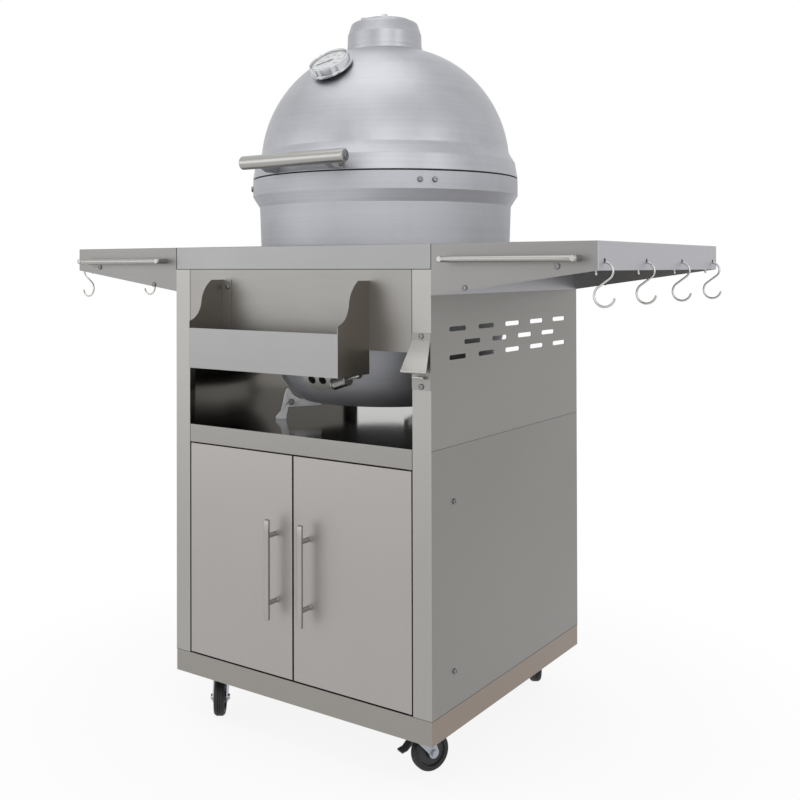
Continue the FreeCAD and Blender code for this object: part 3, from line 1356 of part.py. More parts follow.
# The grip's own frame: X along the spindle from where the grip begins, Z as the vent's.
grip_frame = FreeCAD.Placement(
    FreeCAD.Vector(number("grip_start"), -number("grip_fall"), 0),
    FreeCAD.Rotation(FreeCAD.Vector(0, 0, 1), number("grip_turn")),
)


def along_grip(shape):
    """Moves a solid from the grip's frame into the vent's."""
    shape.Placement = grip_frame.multiply(shape.Placement)
    return shape


def on_spindle(radius, start, length):
    """A round piece along the spindle, from a distance past the grip's start."""
    spot = FreeCAD.Vector(start, 0, GRIP_Z)
    return along_grip(Part.makeCylinder(radius, length, spot, FreeCAD.Vector(1, 0, 0)))


disc = disc_at(number("draft_disc_r"), air, DISC_FACE)
lever = along_grip(Part.makeBox(32, 9, plate, FreeCAD.Vector(-30, -4.5, air)))
post = along_grip(Part.makeBox(2, 9, GRIP_Z + 4 - air, FreeCAD.Vector(0, -4.5, air)))
tail = 4.0 + grip_length + number("grip_tail")
spindle = [
    on_spindle(number("spindle_r"), 0.0, grip_length + 4),
    on_spindle(number("collar_r"), 0.0, 2.0),
    on_spindle(number("collar_r"), 2.0 + grip_length, 2.0),
    on_spindle(number("spindle_r") * 0.6, grip_length, tail - grip_length),
    on_spindle(number("grip_knob_r"), tail - 1.0, 9.0),
]
disc = disc.fuse([lever, post] + spindle).cut(ports + [disc_at(PIVOT + number("fit"), -5.0, 20.0)])
node(shaped("draft_disc_shape", in_vent(disc.removeSplitter())), "draft_disc")


def coil_grip():
    """Turns of wire round the spindle, as one tube along quarter-turn arcs."""
    radius, wire = number("grip_r"), number("grip_wire_r")
    pitch, turns = number("grip_pitch"), int(number("grip_turns"))
    start = FreeCAD.Vector(2 + number("seat") + wire, 0, GRIP_Z)

    def spot(angle):
        return start + FreeCAD.Vector(pitch * angle / (2 * math.pi), radius * math.cos(angle), radius * math.sin(angle))

    edges = []
    for step in range(turns * 4):
        a, b = step * math.pi / 2, (step + 1) * math.pi / 2
        edges.append(Part.Arc(spot(a), spot((a + b) / 2), spot(b)).toShape())
    ring = Part.Wire(Part.makeCircle(wire, spot(0), FreeCAD.Vector(pitch / (2 * math.pi), 0, radius)))
    shell = Part.BRepOffsetAPI.MakePipeShell(Part.Wire(edges))
    shell.add(ring)
    shell.build()
    shell.makeSolid()
    return in_vent(along_grip(shell.shape()))


node(shaped("grip_shape", coil_grip()), "draft_grip")


def stand_feet():
    """Three cast feet under the bowl: toe, leaning web with a hole, and inner arm."""
    deck_z, arm_top = number(SHELF_Z), number(down("bowl_low"))
    toe_out, toe_in = number("foot_reach"), number("foot_reach - foot_toe")
    arm_low = arm_top - number("foot_arm")
    tip = deck_z + number("foot_tip_height")
    foot_r = number("bowl_foot_r")
    rows = [
        (toe_out, deck_z),
        (toe_out, deck_z + 6),
        (toe_out - 12, deck_z + 20),
        (foot_r + 40, tip - 4),
        (foot_r + 36, tip),
        (foot_r + 31, tip - 2),
        (foot_r + 21, arm_top + 8),
        (foot_r + 6, arm_top),
        (number("foot_arm_end"), arm_top),
        (number("foot_arm_end"), arm_low),
        (toe_in - 4, arm_low - 2),
        (toe_in, deck_z + 8),
        (toe_in, deck_z),
    ]
    half = number("foot_thick/2")
    feet = []
    for step in range(3):
        section = [FreeCAD.Vector(r, -half, z) for r, z in rows]
        foot = Part.Face(Part.makePolygon(section + [section[0]])).extrude(FreeCAD.Vector(0, 2 * half, 0))
        hole = Part.makeCylinder(6.5, 4 * half, FreeCAD.Vector(toe_in - 10, -2 * half, arm_low + 9), FreeCAD.Vector(0, 1, 0))
        foot = foot.cut(hole)
        turn = -90 - number("foot_turn") + 120 * step
        foot.Placement = FreeCAD.Placement(
            FreeCAD.Vector(0, number("kamado_shift"), 0), FreeCAD.Rotation(FreeCAD.Vector(0, 0, 1), turn)
        )
        foot = foot.cut(bowl_mass_shape)
        feet.append(max(foot.Solids, key=lambda s: s.Volume))
    return Part.makeCompound(feet)


flat_half = 2 * number("bowl_r")
keep_flat = Part.makeBox(
    2 * flat_half, 2 * flat_half, 20, FreeCAD.Vector(-flat_half, -flat_half, number(down("bowl_low")) - 20)
)
bowl_mass_shape = bowl_mass_shape.cut(keep_flat)
node(shaped("feet_shape", stand_feet()), "stand_feet")

# Casters: plate and rivet on the base, a fork that swivels, a wheel and front brakes.
PLATE_LOW = "(%s - caster_plate_thick)" % CASTER_TOP
CROWN_TOP = 89.7
PEDAL_SPOT = (-9.0, 72.0)
plates = []


def fork_shape(braked):
    """Crown and two legs down to the axle, with the axle itself, at rest along +X."""
    thick, width = number("fork_thick"), number("wheel_width")
    inner = width / 2 + 1.5
    trail, leg = number("caster_trail"), number("fork_leg/2")
    axle_z, crown_r = number("wheel_r"), number("fork_crown_r")
    crown_low = number("wheel_r") * 2 + 4
    crown = Part.makeCylinder(crown_r, CROWN_TOP - crown_low, FreeCAD.Vector(0, 0, crown_low))
    top_rims = [e for e in crown.Edges if abs(e.CenterOfMass.z - CROWN_TOP) < 1e-6 and len(e.Vertexes) == 1]
    pieces = [crown.makeFillet(2.0, top_rims)]
    for side in (-1, 1):
        y = inner if side > 0 else -inner - thick
        rows = [(-leg - 8, crown_low + 3), (-leg - 3, crown_low - 10), (trail - leg, axle_z), (trail, axle_z - leg), (trail + leg, axle_z), (trail - 4, crown_low + 3)]
        section = [FreeCAD.Vector(x, y, z) for x, z in rows]
        pieces.append(Part.Face(Part.makePolygon(section + [section[0]])).extrude(FreeCAD.Vector(0, thick, 0)))
        pieces.append(Part.makeCylinder(leg, thick, FreeCAD.Vector(trail, y, axle_z), FreeCAD.Vector(0, 1, 0)))
        nut_y = inner + thick if side > 0 else -inner - thick - 4
        pieces.append(Part.makeCylinder(6.0, 4.0, FreeCAD.Vector(trail, nut_y, axle_z), FreeCAD.Vector(0, 1, 0)))
    reach = inner + thick
    pieces.append(
        Part.makeCylinder(number("wheel_bore_r"), 2 * reach, FreeCAD.Vector(trail, -reach, axle_z), FreeCAD.Vector(0, 1, 0))
    )
    body = pieces[0].fuse(pieces[1:])
    holes = [Part.makeCylinder(number("swivel_r + fit"), 60, FreeCAD.Vector(0, 0, crown_low - 20))]
    if braked:
        pin_start = FreeCAD.Vector(PEDAL_SPOT[0], -30, PEDAL_SPOT[1])
        holes.append(Part.makeCylinder(number("pedal_pin_r + fit"), 60, pin_start, FreeCAD.Vector(0, 1, 0)))
    return body.cut(holes).removeSplitter()


def wheel_shape():
    """A tread with rounded shoulders, a dished side and a hub, about its own axle."""
    radius, half = number("wheel_r"), number("wheel_width/2")
    bore = number("wheel_bore_r + fit")
    rows = [
        (bore, -half), (12, -half), (14, -half + 5), (26, -half + 5), (29, -half + 1), (radius - 4, -half + 1),
    ]
    section = rows + [(r, -z) for r, z in reversed(rows)]
    points = [FreeCAD.Vector(r, 0, z) for r, z in section]
    edges = [Part.LineSegment(a, b).toShape() for a, b in zip(points[:5], points[1:6])]
    crown_a, crown_b = points[5], points[6]
    edges.append(Part.Arc(crown_a, FreeCAD.Vector(radius - 0.6, 0, -half + 4.5), FreeCAD.Vector(radius, 0, -half + 9)).toShape())
    edges.append(Part.LineSegment(FreeCAD.Vector(radius, 0, -half + 9), FreeCAD.Vector(radius, 0, half - 9)).toShape())
    edges.append(Part.Arc(FreeCAD.Vector(radius, 0, half - 9), FreeCAD.Vector(radius - 0.6, 0, half - 4.5), crown_b).toShape())
    edges += [Part.LineSegment(a, b).toShape() for a, b in zip(points[6:], points[7:] + [points[0]])]
    wheel = Part.Face(Part.Wire(edges)).revolve(FreeCAD.Vector(), FreeCAD.Vector(0, 0, 1), 360)
    wheel.rotate(FreeCAD.Vector(), FreeCAD.Vector(1, 0, 0), 90)
    wheel.translate(FreeCAD.Vector(number("caster_trail"), 0, radius))
    return wheel


def pedal_shape():
    """A bent tread plate in front of the fork on a cross pin through both legs."""
    reach = number("wheel_width/2") + 1.5 + number("fork_thick") + 1.0
    x, z = PEDAL_SPOT
    pin = Part.makeCylinder(number("pedal_pin_r"), 2 * reach, FreeCAD.Vector(x, -reach, z), FreeCAD.Vector(0, 1, 0))
    rows = [(-3, 2.5), (1, -2.5), (-7, -12), (-17, -21), (-29, -24), (-29, -21), (-18, -17.5), (-9, -8)]
    half = number("pedal_width/2")
    section = [FreeCAD.Vector(x + dx, -half, z + dz) for dx, dz in rows]
    tread = Part.Face(Part.makePolygon(section + [section[0]])).extrude(FreeCAD.Vector(0, 2 * half, 0))
    return pin.fuse(tread).removeSplitter()


for word, side_x, side_y, turn in CASTERS:
    middle_x = "(%s - caster_inset_x)*(%d)" % (HALF_W, side_x)
    middle_y = "(%s - caster_inset_y)*(%d)" % (HALF_D, side_y)
    plate = box(
        "caster_plate",
        (middle_x + " - caster_plate_x/2", middle_x + " + caster_plate_x/2"),
        (middle_y + " - caster_plate_y/2", middle_y + " + caster_plate_y/2"),
        (PLATE_LOW, CASTER_TOP),
    )
    race = rod("caster_race", "Z", (middle_x, middle_y, "90"), "fork_crown_r - 1", PLATE_LOW + " - 90")
    rivet = rod("caster_rivet", "Z", (middle_x, middle_y, "2*wheel_r"), "swivel_r", "90 - 2*wheel_r")
    rivet_head = rod("caster_rivet_head", "Z", (middle_x, middle_y, "2*wheel_r"), "swivel_r + 3", "3.7")
    plates.append(joined("plate_" + word, [plate, race, rivet, rivet_head]))
    spot = FreeCAD.Vector(number(middle_x), number(middle_y), 0)
    aim = FreeCAD.Placement(spot, FreeCAD.Rotation(FreeCAD.Vector(0, 0, 1), turn))
    pieces = [("fork", fork_shape(side_y < 0)), ("wheel", wheel_shape())]
    if side_y < 0:
        pieces.append(("brake", pedal_shape()))
    for kind, shape in pieces:
        shape.Placement = aim.multiply(shape.Placement)
        node(shaped("%s_%s_shape" % (kind, word), shape), "caster_%s_%s" % (kind, word))
node(together("plate_set", plates), "caster_plates")


def hook_shape(side, y):
    """An S of round wire that hangs through its hole, made of arcs and one straight."""
    wire, upper, lower = number("hook_wire_r"), number("hook_upper_r"), number("hook_lower_r")
    face = number(HALF_W + " + shelf_reach - skin/2")
    seat = number(down("(hook_hole_drop + hook_hole_r)")) + wire + 0.3
    top_z, low_z = seat - upper, seat - upper - number("hook_span")
    cos, sin = math.cos, math.sin

    def ring_spot(centre_z, radius, degrees):
        angle = math.radians(degrees)
        return FreeCAD.Vector(radius * cos(angle), 0, centre_z + radius * sin(angle))

    reach = FreeCAD.Vector(0, 0, top_z - low_z).Length
    lean = math.degrees(math.asin((upper + lower) / reach))
    leave, meet = -lean, 180 - lean
    a = Part.Arc(ring_spot(top_z, upper, 200), ring_spot(top_z, upper, 100), ring_spot(top_z, upper, leave)).toShape()
    b = Part.LineSegment(ring_spot(top_z, upper, leave), ring_spot(low_z, lower, meet)).toShape()
    c = Part.Arc(ring_spot(low_z, lower, meet), ring_spot(low_z, lower, 255), ring_spot(low_z, lower, 345)).toShape()
    path = Part.Wire([a, b, c])
    start, way = ring_spot(top_z, upper, 200), FreeCAD.Vector(sin(math.radians(200)), 0, -cos(math.radians(200)))
    ring = Part.Wire(Part.makeCircle(wire, start, way))
    shell = Part.BRepOffsetAPI.MakePipeShell(path)
    shell.add(ring)
    shell.build()
    shell.makeSolid()
    body = shell.shape()
    if side < 0:
        body.rotate(FreeCAD.Vector(0, 0, seat), FreeCAD.Vector(0, 0, 1), 180)
    body.translate(FreeCAD.Vector(side * face, y, 0))
    return body


for word, side in (("left", -1), ("right", 1)):
    for count, place_in_row in enumerate(HOOK_ROWS, start=1):
        hook = hook_shape(side, place_in_row * number("hook_pitch"))
        node(shaped("hook_%s_%d_shape" % (word, count), hook), "hook_%s_%d" % (word, count))

doc.recompute()

failed = [o.Name for o in doc.Objects if "Invalid" in o.State or "Error" in o.State]
if failed:
    raise SystemExit("these objects failed: %s" % failed)
names = [name for name, thing in NODES]
if len(set(names)) != len(names) or len(names) > 60:
    raise SystemExit("node names repeat or are too many: %d" % len(names))
os.makedirs("parts", exist_ok=True)
for name, thing in NODES:
    shape = thing.Shape
    if shape.isNull() or not shape.isValid() or not shape.Solids:
        raise SystemExit("%s is empty or not valid" % name)
    shape.exportStep("parts/%s.step" % name)
print("%d nodes written" % len(NODES))
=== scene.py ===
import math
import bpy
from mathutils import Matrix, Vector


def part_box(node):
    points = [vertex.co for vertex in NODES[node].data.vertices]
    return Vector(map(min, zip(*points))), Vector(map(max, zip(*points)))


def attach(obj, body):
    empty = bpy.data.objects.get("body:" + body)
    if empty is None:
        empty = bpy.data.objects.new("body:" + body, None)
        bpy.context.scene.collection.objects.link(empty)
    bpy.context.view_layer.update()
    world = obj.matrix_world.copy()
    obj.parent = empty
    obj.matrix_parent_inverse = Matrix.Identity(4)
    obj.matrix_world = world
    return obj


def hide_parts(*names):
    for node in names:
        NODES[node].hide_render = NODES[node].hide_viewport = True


bl_info = {
    "name": "Kamado grill table",
    "version": (1, 0, 0),
    "blender": (4, 5, 0),
    "location": "3D View > Sidebar > Grill table",
    "description": "Dresses the packed kamado grill table in turned, bent and brushed surfaces",
    "category": "Object",
}

import bmesh
import bpy
import numpy as np
from bpy.props import FloatProperty, FloatVectorProperty, IntProperty, PointerProperty
from mathutils import Matrix, Vector

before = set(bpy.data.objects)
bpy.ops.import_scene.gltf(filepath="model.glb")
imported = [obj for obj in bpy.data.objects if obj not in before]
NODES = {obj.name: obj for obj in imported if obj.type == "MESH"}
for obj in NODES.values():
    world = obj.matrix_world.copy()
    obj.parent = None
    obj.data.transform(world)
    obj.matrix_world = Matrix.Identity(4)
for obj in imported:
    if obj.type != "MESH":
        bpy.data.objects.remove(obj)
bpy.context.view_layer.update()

TURN = 2 * math.pi
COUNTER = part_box("counter_top")[1][2]
AXIS_Y = (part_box("bowl")[0][1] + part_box("bowl")[1][1]) / 2
CART_FRONT, CART_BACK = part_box("counter_top")[0][1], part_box("counter_top")[1][1]
SHELF_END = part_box("right_shelf")[1][0]
SEAM_FACE = 0.030  # width of the faces on which the lid lies
NECK_LIP = 0.009  # height of the lid's neck
INK = 0.0001  # thickness of the print on the dial
SATIN = 0.42  # roughness of the brushed sheets
FINISH = {}  # every finish by its short name, once mix_finishes has run


def linear(code):
    """A six-figure sRGB code as linear red, green and blue."""
    parts = [int(code[k : k + 2], 16) / 255 for k in (0, 2, 4)]
    return [c / 12.92 if c <= 0.04045 else ((c + 0.055) / 1.055) ** 2.4 for c in parts]


def length(name, description, millimetres):
    """A length that a user would change, given here in millimetres."""
    metres = millimetres / 1000
    return FloatProperty(
        name=name, description=description, default=metres, min=0.0, precision=4, unit="LENGTH"
    )


def tone(name, description, code):
    """A colour that a user would change."""
    return FloatVectorProperty(
        name=name,
        description=description,
        default=linear(code),
        min=0.0,
        max=1.0,
        size=3,
        subtype="COLOR",
    )


def power(name, description, watts):
    """A lamp's power that a user would change."""
    return FloatProperty(name=name, description=description, default=watts, min=0.0)


class KamadoSizes(bpy.types.PropertyGroup):
    """Sizes of the kamado, as heights above the counter and radii from its axis."""

    wall: length("Wall", "Thickness of the casting", 14)
    bowl_r: length("Bowl radius", "Radius at the counter", 275)
    band_r: length("Band radius", "Radius of the bands at the seam", 293)
    seam: length("Seam", "Height of the bowl's upper face", 147.5)
    seam_gap: length("Seam gap", "Gap between bowl and lid", 3)
    ridge: length("Ridge", "Height of the small ridge round the lid", 209)
    dome_r: length("Dome radius", "Radius of the dome above the ridge", 273.6)
    dome_bend: length("Dome bend", "Radius of the dome's side in section", 266.5)
    shoulder_r: length("Shoulder radius", "Radius where the dome turns flatter", 196)
    shoulder: length("Shoulder height", "Height where the dome turns flatter", 371.2)
    neck_r: length("Neck radius", "Radius of the lid's neck", 84)
    neck: length("Neck height", "Height where the dome meets the neck", 434.4)
    chimney_r: length("Chimney radius", "Radius of the opening in the neck", 60)
    cap: length("Cap height", "Height of the vent's cap", 56.6)
    cap_top_r: length("Cap top radius", "Radius of the cap at its top", 75)
    bar_r: length("Handle radius", "Radius of the lid's handle", 14)
    bar: length("Handle length", "Length of the lid's handle", 260)
    gauge_r: length("Thermometer radius", "Radius of the thermometer's case", 44)
    grip_r: length("Grip radius", "Radius of the coil grip to the wire's middle", 10.5)
    grip_wire: length("Grip wire", "Radius of the grip's wire", 1.3)
    grip_turns: IntProperty(
        name="Grip turns", description="Turns of the coil grip", default=8, min=1
    )
    facets: IntProperty(
        name="Facets", description="Faces once round the kamado", default=192, min=24
    )


class CartSizes(bpy.types.PropertyGroup):
    """Sizes of the bars, hooks, wheels and opener on the cart."""

    towel_bar_r: length("Towel bar radius", "Radius of a towel bar", 5)
    towel_post_r: length("Towel post radius", "Radius of a towel bar's posts", 5.6)
    towel_reach: length("Towel bar reach", "Towel bar's axis in front of the shelf", 24)
    door_bar_r: length("Door handle radius", "Radius of a door handle", 6)
    door_post_r: length("Door post radius", "Radius of a door handle's posts", 5)
    door_posts: length("Door post pitch", "Distance between a door handle's posts", 133)
    hook_wire: length("Hook wire", "Radius of the hooks' wire", 2)
    hook_upper: length("Hook upper loop", "Bend of the hooks' upper loop", 15)
    hook_lower: length("Hook lower loop", "Bend of the hooks' lower loop", 18)
    hook_span: length("Hook span", "Distance between the centres of the two loops", 41)
    wheel_r: length("Wheel radius", "Radius of the wheels", 38)
    wheel_width: length("Wheel width", "Width of the wheels", 24)
    opener_hood: length("Opener hood", "Width of the hood's lower edge", 54)
    opener_sheet: length("Opener sheet", "Thickness of the opener's steel", 2)


class Finishes(bpy.types.PropertyGroup):
    """Colours of the table's metals and small parts, and the strength of its lamps."""

    stainless: tone("Stainless steel", "Brushed sheet of the cart", "8F8D8A")
    lower: tone("Lower side steel", "Side panels of the cupboard", "8B8986")
    # Painted shade: darker for the shade inside the cart, not a colour the steel has.
    inside: tone("Inside steel", "Inside of the upper side panels, dulled by the heat", "6E6B66")
    # Painted shade: the aprons darker than the cart's sheet.
    apron: tone("Apron steel", "Aprons of the side shelves", "878685")
    # Painted light: the front bends lighter than the side panels.
    stile: tone("Stile steel", "The bends that frame the front", "A09E9B")
    edge: tone("Edge steel", "Counter edge and bottle rack", "929292")
    # Painted shade: the rack's cheeks darker than its front.
    rack_end: tone("Rack end steel", "Cheeks of the bottle rack", "857F77")
    # Painted light: the shelves' ends lighter than the cart's sheet.
    end: tone("Shelf end steel", "Free ends of the side shelves", "B3B2B7")
    # Painted light: the doors lighter than the cart's sheet.
    door: tone("Door steel", "Brushed sheet of the doors", "A4A09E")
    # Painted light: the skirt's front a little lighter than the cart's sheet, and warmer.
    skirt: tone("Skirt steel", "Warmer sheet of the base", "93908B")
    # Painted shade: the skirt's sides darker than its front.
    skirt_side: tone("Skirt side steel", "The base's skirt at the sides", "8F847B")
    # Painted shade: the deck darker for the shade inside the cart.
    shelf: tone("Polished steel", "Deck of the middle shelf, dulled by the heat", "605E5A")
    aluminium: tone("Turned aluminium", "Bowl, lid and cap", "ACADB2")
    bowl: tone("Bowl aluminium", "Bowl, cut with a coarser feed", "B2B3B8")
    casting: tone("Cast aluminium", "Brackets and vent housing", "A4A4A6")
    feet: tone("Blasted aluminium", "The kamado's cast feet", "C0C0C2")
    bar: tone("Bar steel", "Handles, rails and hooks", "A3A29F")
    zinc: tone("Zinc plate", "Caster forks and plates", "A0A5AC")
    rubber: tone("Rubber", "Tyres", "08080A")
    enamel: tone("Dial enamel", "Face of the thermometer", "E4E8EA")
    key: power("Key lamp", "Power of the wide soft lamp at the front left", 44)
    front: power("Front lamp", "Power of the soft lamp behind the camera", 36)
    strip: power("Strip lamp", "Power of the narrow upright lamp at the right", 15)
    top: power("Top lamp", "Power of the soft lamp above", 26)


# --- surfaces -----------------------------------------------------------------------------


def sheet_of(spots, close_rows=False, close_columns=False):
    """Quads over a grid of points: cell (i, j) joins point (i, j) to its next row and column."""
    rows, columns = spots.shape[:2]
    index = np.arange(rows * columns).reshape(rows, columns)
    if close_rows:
        index = np.vstack([index, index[:1]])
    if close_columns:
        index = np.hstack([index, index[:, :1]])
    quads = np.stack([index[:-1, :-1], index[:-1, 1:], index[1:, 1:], index[1:, :-1]], axis=-1)
    return spots.reshape(-1, 3), quads.reshape(-1, 4)


def outline(points, step=0.004):
    """A line through points in a plane. A third value makes the run that ends there an arc of
    that radius, bulging to the right of the run if positive; "smooth" leaves the last heading.
    An arc is cut into chords of at most one step and 5 degrees, and of no fewer than three."""
    rows, heading = [np.array(points[:1], float)[:, :2]], None
    for point in points[1:]:
        start, end = rows[-1][-1], np.array(point[:2], float)
        chord = end - start
        if len(point) == 2:
            rows.append(end[None])
            heading = chord / np.linalg.norm(chord)
            continue
        if point[2] == "smooth":
            left = np.array((-heading[1], heading[0]))
            radius = chord @ chord / (2 * chord @ left)
            centre = start + left * radius
        else:
            radius = point[2]
            left = np.array((-chord[1], chord[0])) / np.linalg.norm(chord)
            reach = math.sqrt(max(radius**2 - chord @ chord / 4, 0.0))
            centre = (start + end) / 2 + left * math.copysign(reach, radius)
        first, last = start - centre, end - centre
        low = math.atan2(first[1], first[0])
        sweep = (math.atan2(last[1], last[0]) - low + math.pi) % TURN - math.pi
        by_length, by_angle = abs(sweep * radius) / step, abs(sweep) / math.radians(5)
        count = max(3, math.ceil(by_length), math.ceil(by_angle))
        angle = low + sweep * np.linspace(0, 1, count + 1)[1:]
        rows.append(centre + abs(radius) * np.stack([np.cos(angle), np.sin(angle)], axis=1))
        heading = np.array((-last[1], last[0])) / np.linalg.norm(last) * math.copysign(1, sweep)
    return np.concatenate(rows)


def stub(radius, low, high):
    """Profile of a plain disc about Z, which bores a hole."""
    return np.array([(0, low), (radius, low), (radius, high), (0, high)])


def chamfered(radius, low, high, cut, drop):
    """Profile of a pin or nut about Z whose upper edge is cut back: cut wide and drop high."""
    edge = [(radius, high - drop), (radius - cut, high)]
    return np.array([(0, low), (radius, low), *edge, (0, high)])


def ray(angle):
    """The point, or a row of x and a row of y, at radius 1 and an angle."""
    return np.array([np.cos(angle), np.sin(angle)])


def lathe(rows, count=48, closed=False):
    """Surface of revolution about Z: a point (radius, height) goes to
    (radius cos a, radius sin a, height) for every angle a."""
    angle = np.linspace(0, TURN, count, endpoint=False)
    radius, height = rows[:, :1], rows[:, 1:2]
    spots = np.stack([radius * np.cos(angle), radius * np.sin(angle), height + 0 * angle], axis=2)
    return sheet_of(spots, close_rows=closed, close_columns=True)


def tube(path, radius, side, count=16, dome=0.35):
    """Round tube along a path: at each point a ring of that radius lies across the heading,
    spanned by the part of side across it and by their cross product. Each end closes in a dome
    whose rings shrink as a cosine while they move out as a sine, dome times the radius."""
    rings = 6
    heading = np.gradient(path, axis=0)
    heading /= np.linalg.norm(heading, axis=1, keepdims=True)
    side = np.broadcast_to(np.asarray(side, float), path.shape)
    radius = np.broadcast_to(np.asarray(radius, float), len(path))
    cap = np.linspace(0, math.pi / 2, rings + 1)
    out = np.sin(cap[1:, None]) * dome
    before = path[0] - heading[0] * out[::-1] * radius[0]
    after = path[-1] + heading[-1] * out * radius[-1]
    path = np.vstack([before, path, after])
    radius = np.concatenate([np.cos(cap[:0:-1]) * radius[0], radius, np.cos(cap[1:]) * radius[-1]])
    heading, side = (np.pad(rows, ((rings, rings), (0, 0)), "edge") for rows in (heading, side))
    across = side - heading * np.sum(side * heading, axis=1, keepdims=True)
    across /= np.linalg.norm(across, axis=1, keepdims=True)
    third = np.cross(heading, across)
    angle = np.linspace(0, TURN, count, endpoint=False)[None, :, None]
    ring = across[:, None] * np.cos(angle) + third[:, None] * np.sin(angle)
    return sheet_of(path[:, None] + ring * radius[:, None, None], close_columns=True)


def plate(points, low, high):
    """A flat plate: an outline in X and Y carried from one height to another, its ends closed."""
    count = len(points)
    ring = np.arange(count)
    spots = np.vstack([np.c_[points, np.full(count, low)], np.c_[points, np.full(count, high)]])
    walls = np.stack([ring, np.roll(ring, -1), np.roll(ring, -1) + count, ring + count], axis=1)
    return spots, walls.tolist() + [ring[::-1].tolist(), (ring + count).tolist()]


def rounded_box(width, height, radius, steps=6):
    """Outline of a rectangle about the origin whose corners are quarter circles."""
    angle = (np.linspace(0, math.pi / 2, steps)[None] + np.arange(4)[:, None] * math.pi / 2).ravel()
    corner = np.repeat([[1, 1], [-1, 1], [-1, -1], [1, -1]], steps, axis=0)
    centre = corner * (np.array([width, height]) / 2 - radius)
    return centre + radius * np.c_[np.cos(angle), np.sin(angle)]


def moved(part, matrix):
    """The same part turned and shifted by a 4 x 4 matrix."""
    spots, faces = part
    matrix = np.array(matrix)
    return spots @ matrix[:3, :3].T + matrix[:3, 3], faces


def shift(x, y, z):
    """A place that many metres from the origin, unturned."""
    return Matrix.Translation((x, y, z))


def facing(way, spot, up=(0, 0, 1)):
    """A place whose Z looks along way, with its Y as near up as it can be."""
    z = Vector(way).normalized()
    x = Vector(up).cross(z).normalized()
    turn = Matrix((x, z.cross(x), z)).transposed().to_4x4()
    return Matrix.Translation(spot) @ turn


def joined(parts):
    """Several parts as one list of vertices and one of faces."""
    spots, faces, count = [], [], 0
    for part_spots, part_faces in parts:
        if isinstance(part_faces, np.ndarray):
            faces += (part_faces + count).tolist()
        else:
            faces += [[index + count for index in face] for face in part_faces]
        spots.append(part_spots)
        count += len(part_spots)
    return np.concatenate(spots), faces


def closed_mesh(name, parts, merge=2e-6):
    """A mesh whose seams and poles are merged and whose faces look outwards."""
    spots, faces = joined(parts)
    mesh = bpy.data.meshes.new(name)
    mesh.from_pydata(spots, [], faces)
    work = bmesh.new()
    work.from_mesh(mesh)
    bmesh.ops.remove_doubles(work, verts=work.verts, dist=merge)
    bmesh.ops.recalc_face_normals(work, faces=work.faces)
    work.to_mesh(mesh)
    work.free()
    return mesh


def piece(name, parts, finish, body, hides=(), edge=0.0, sharp=35.0, cutters=()):
    """Puts a piece on its body: its parts joined, its holes cut, its edges softened, its finish
    given. It stands for the nodes it hides."""
    mesh = closed_mesh(name, parts)
    thing = bpy.data.objects.new(name, mesh)
    bpy.context.scene.collection.objects.link(thing)
    if cutters:
        tool = bpy.data.objects.new(name + "_cutter", closed_mesh(name + "_cutter", cutters))
        bpy.context.scene.collection.objects.link(tool)
        cut = thing.modifiers.new("holes", "BOOLEAN")
        cut.operation, cut.solver, cut.object = "DIFFERENCE", "EXACT", tool
        bpy.context.view_layer.update()
        whole = thing.evaluated_get(bpy.context.evaluated_depsgraph_get())
        bored = bpy.data.meshes.new_from_object(whole)
        thing.modifiers.clear()
        thing.data = bored
        bored.name = name
        bpy.data.meshes.remove(mesh)
        bpy.data.objects.remove(tool)
        mesh = bored
    mesh.materials.clear()
    mesh.materials.append(FINISH[finish])
    mesh.shade_smooth()
    mesh.set_sharp_from_angle(angle=math.radians(sharp))
    if edge:
        soften(thing, edge, sharp)
    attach(thing, body)
    if hides:
        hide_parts(*hides)
    return thing


def soften(thing, width, angle=35.0):
    """Small rounds along the sharp edges, with the flat faces kept flat to the light."""
    bevel = thing.modifiers.new("soft edges", "BEVEL")
    bevel.width, bevel.segments, bevel.limit_method = width, 2, "ANGLE"
    bevel.angle_limit = math.radians(angle)
    bevel.harden_normals = True


# --- finishes -----------------------------------------------------------------------------


def add(tree, kind, links=None, **settings):
    """Adds a node, sets its settings, and gives each named input a value or another's output."""
    node = tree.nodes.new("ShaderNode" + kind)
    for key, value in settings.items():
        setattr(node, key, value)
    for key, value in (links or {}).items():
        socket = node.inputs[key]
        if isinstance(value, bpy.types.NodeSocket):
            tree.links.new(value, socket)
        else:
            socket.default_value = value
    return node


def surface(name, colour, **sockets):
    """A new material with its tree, its shader and its object coordinates."""
    finish = bpy.data.materials.new(name)
    finish.use_nodes = True
    tree = finish.node_tree
    shader = tree.nodes["Principled BSDF"]
    shader.inputs["Base Color"].default_value = (*colour, 1)
    for key, value in sockets.items():
        shader.inputs[key.replace("_", " ")].default_value = value
    finish.diffuse_color = (*colour, 1)
    return finish, tree, shader, add(tree, "TexCoord").outputs["Object"]


def shade(colour, factor):
    """The same colour lighter or darker, with opacity."""
    return (*[min(1.0, c * factor) for c in colour], 1)


def vary(tree, factor, low, high):
    """Spreads a pattern, which seldom leaves 0.25 to 0.75, over a range of plain numbers."""
    ends = {"From Min": 0.25, "From Max": 0.75, "To Min": low, "To Max": high}
    return add(tree, "MapRange", {"Value": factor, **ends}).outputs[0]


def streaks(tree, colour, factor, low, high):
    """A pattern's run from a darker to a lighter shade of a colour."""
    ends = {6: shade(colour, low), 7: shade(colour, high)}
    return add(tree, "Mix", {0: factor, **ends}, data_type="RGBA").outputs[2]


def tint(tree, shader, colour, factor, low, high):
    """Lets a pattern drive the colour between a darker and a lighter shade of it."""
    tree.links.new(streaks(tree, colour, factor, low, high), shader.inputs["Base Color"])


def relief(tree, shader, height, strength, distance):
    """Bump of a real height in metres."""
    bump = add(tree, "Bump", {"Height": height, "Strength": strength, "Distance": distance})
    tree.links.new(bump.outputs[0], shader.inputs["Normal"])


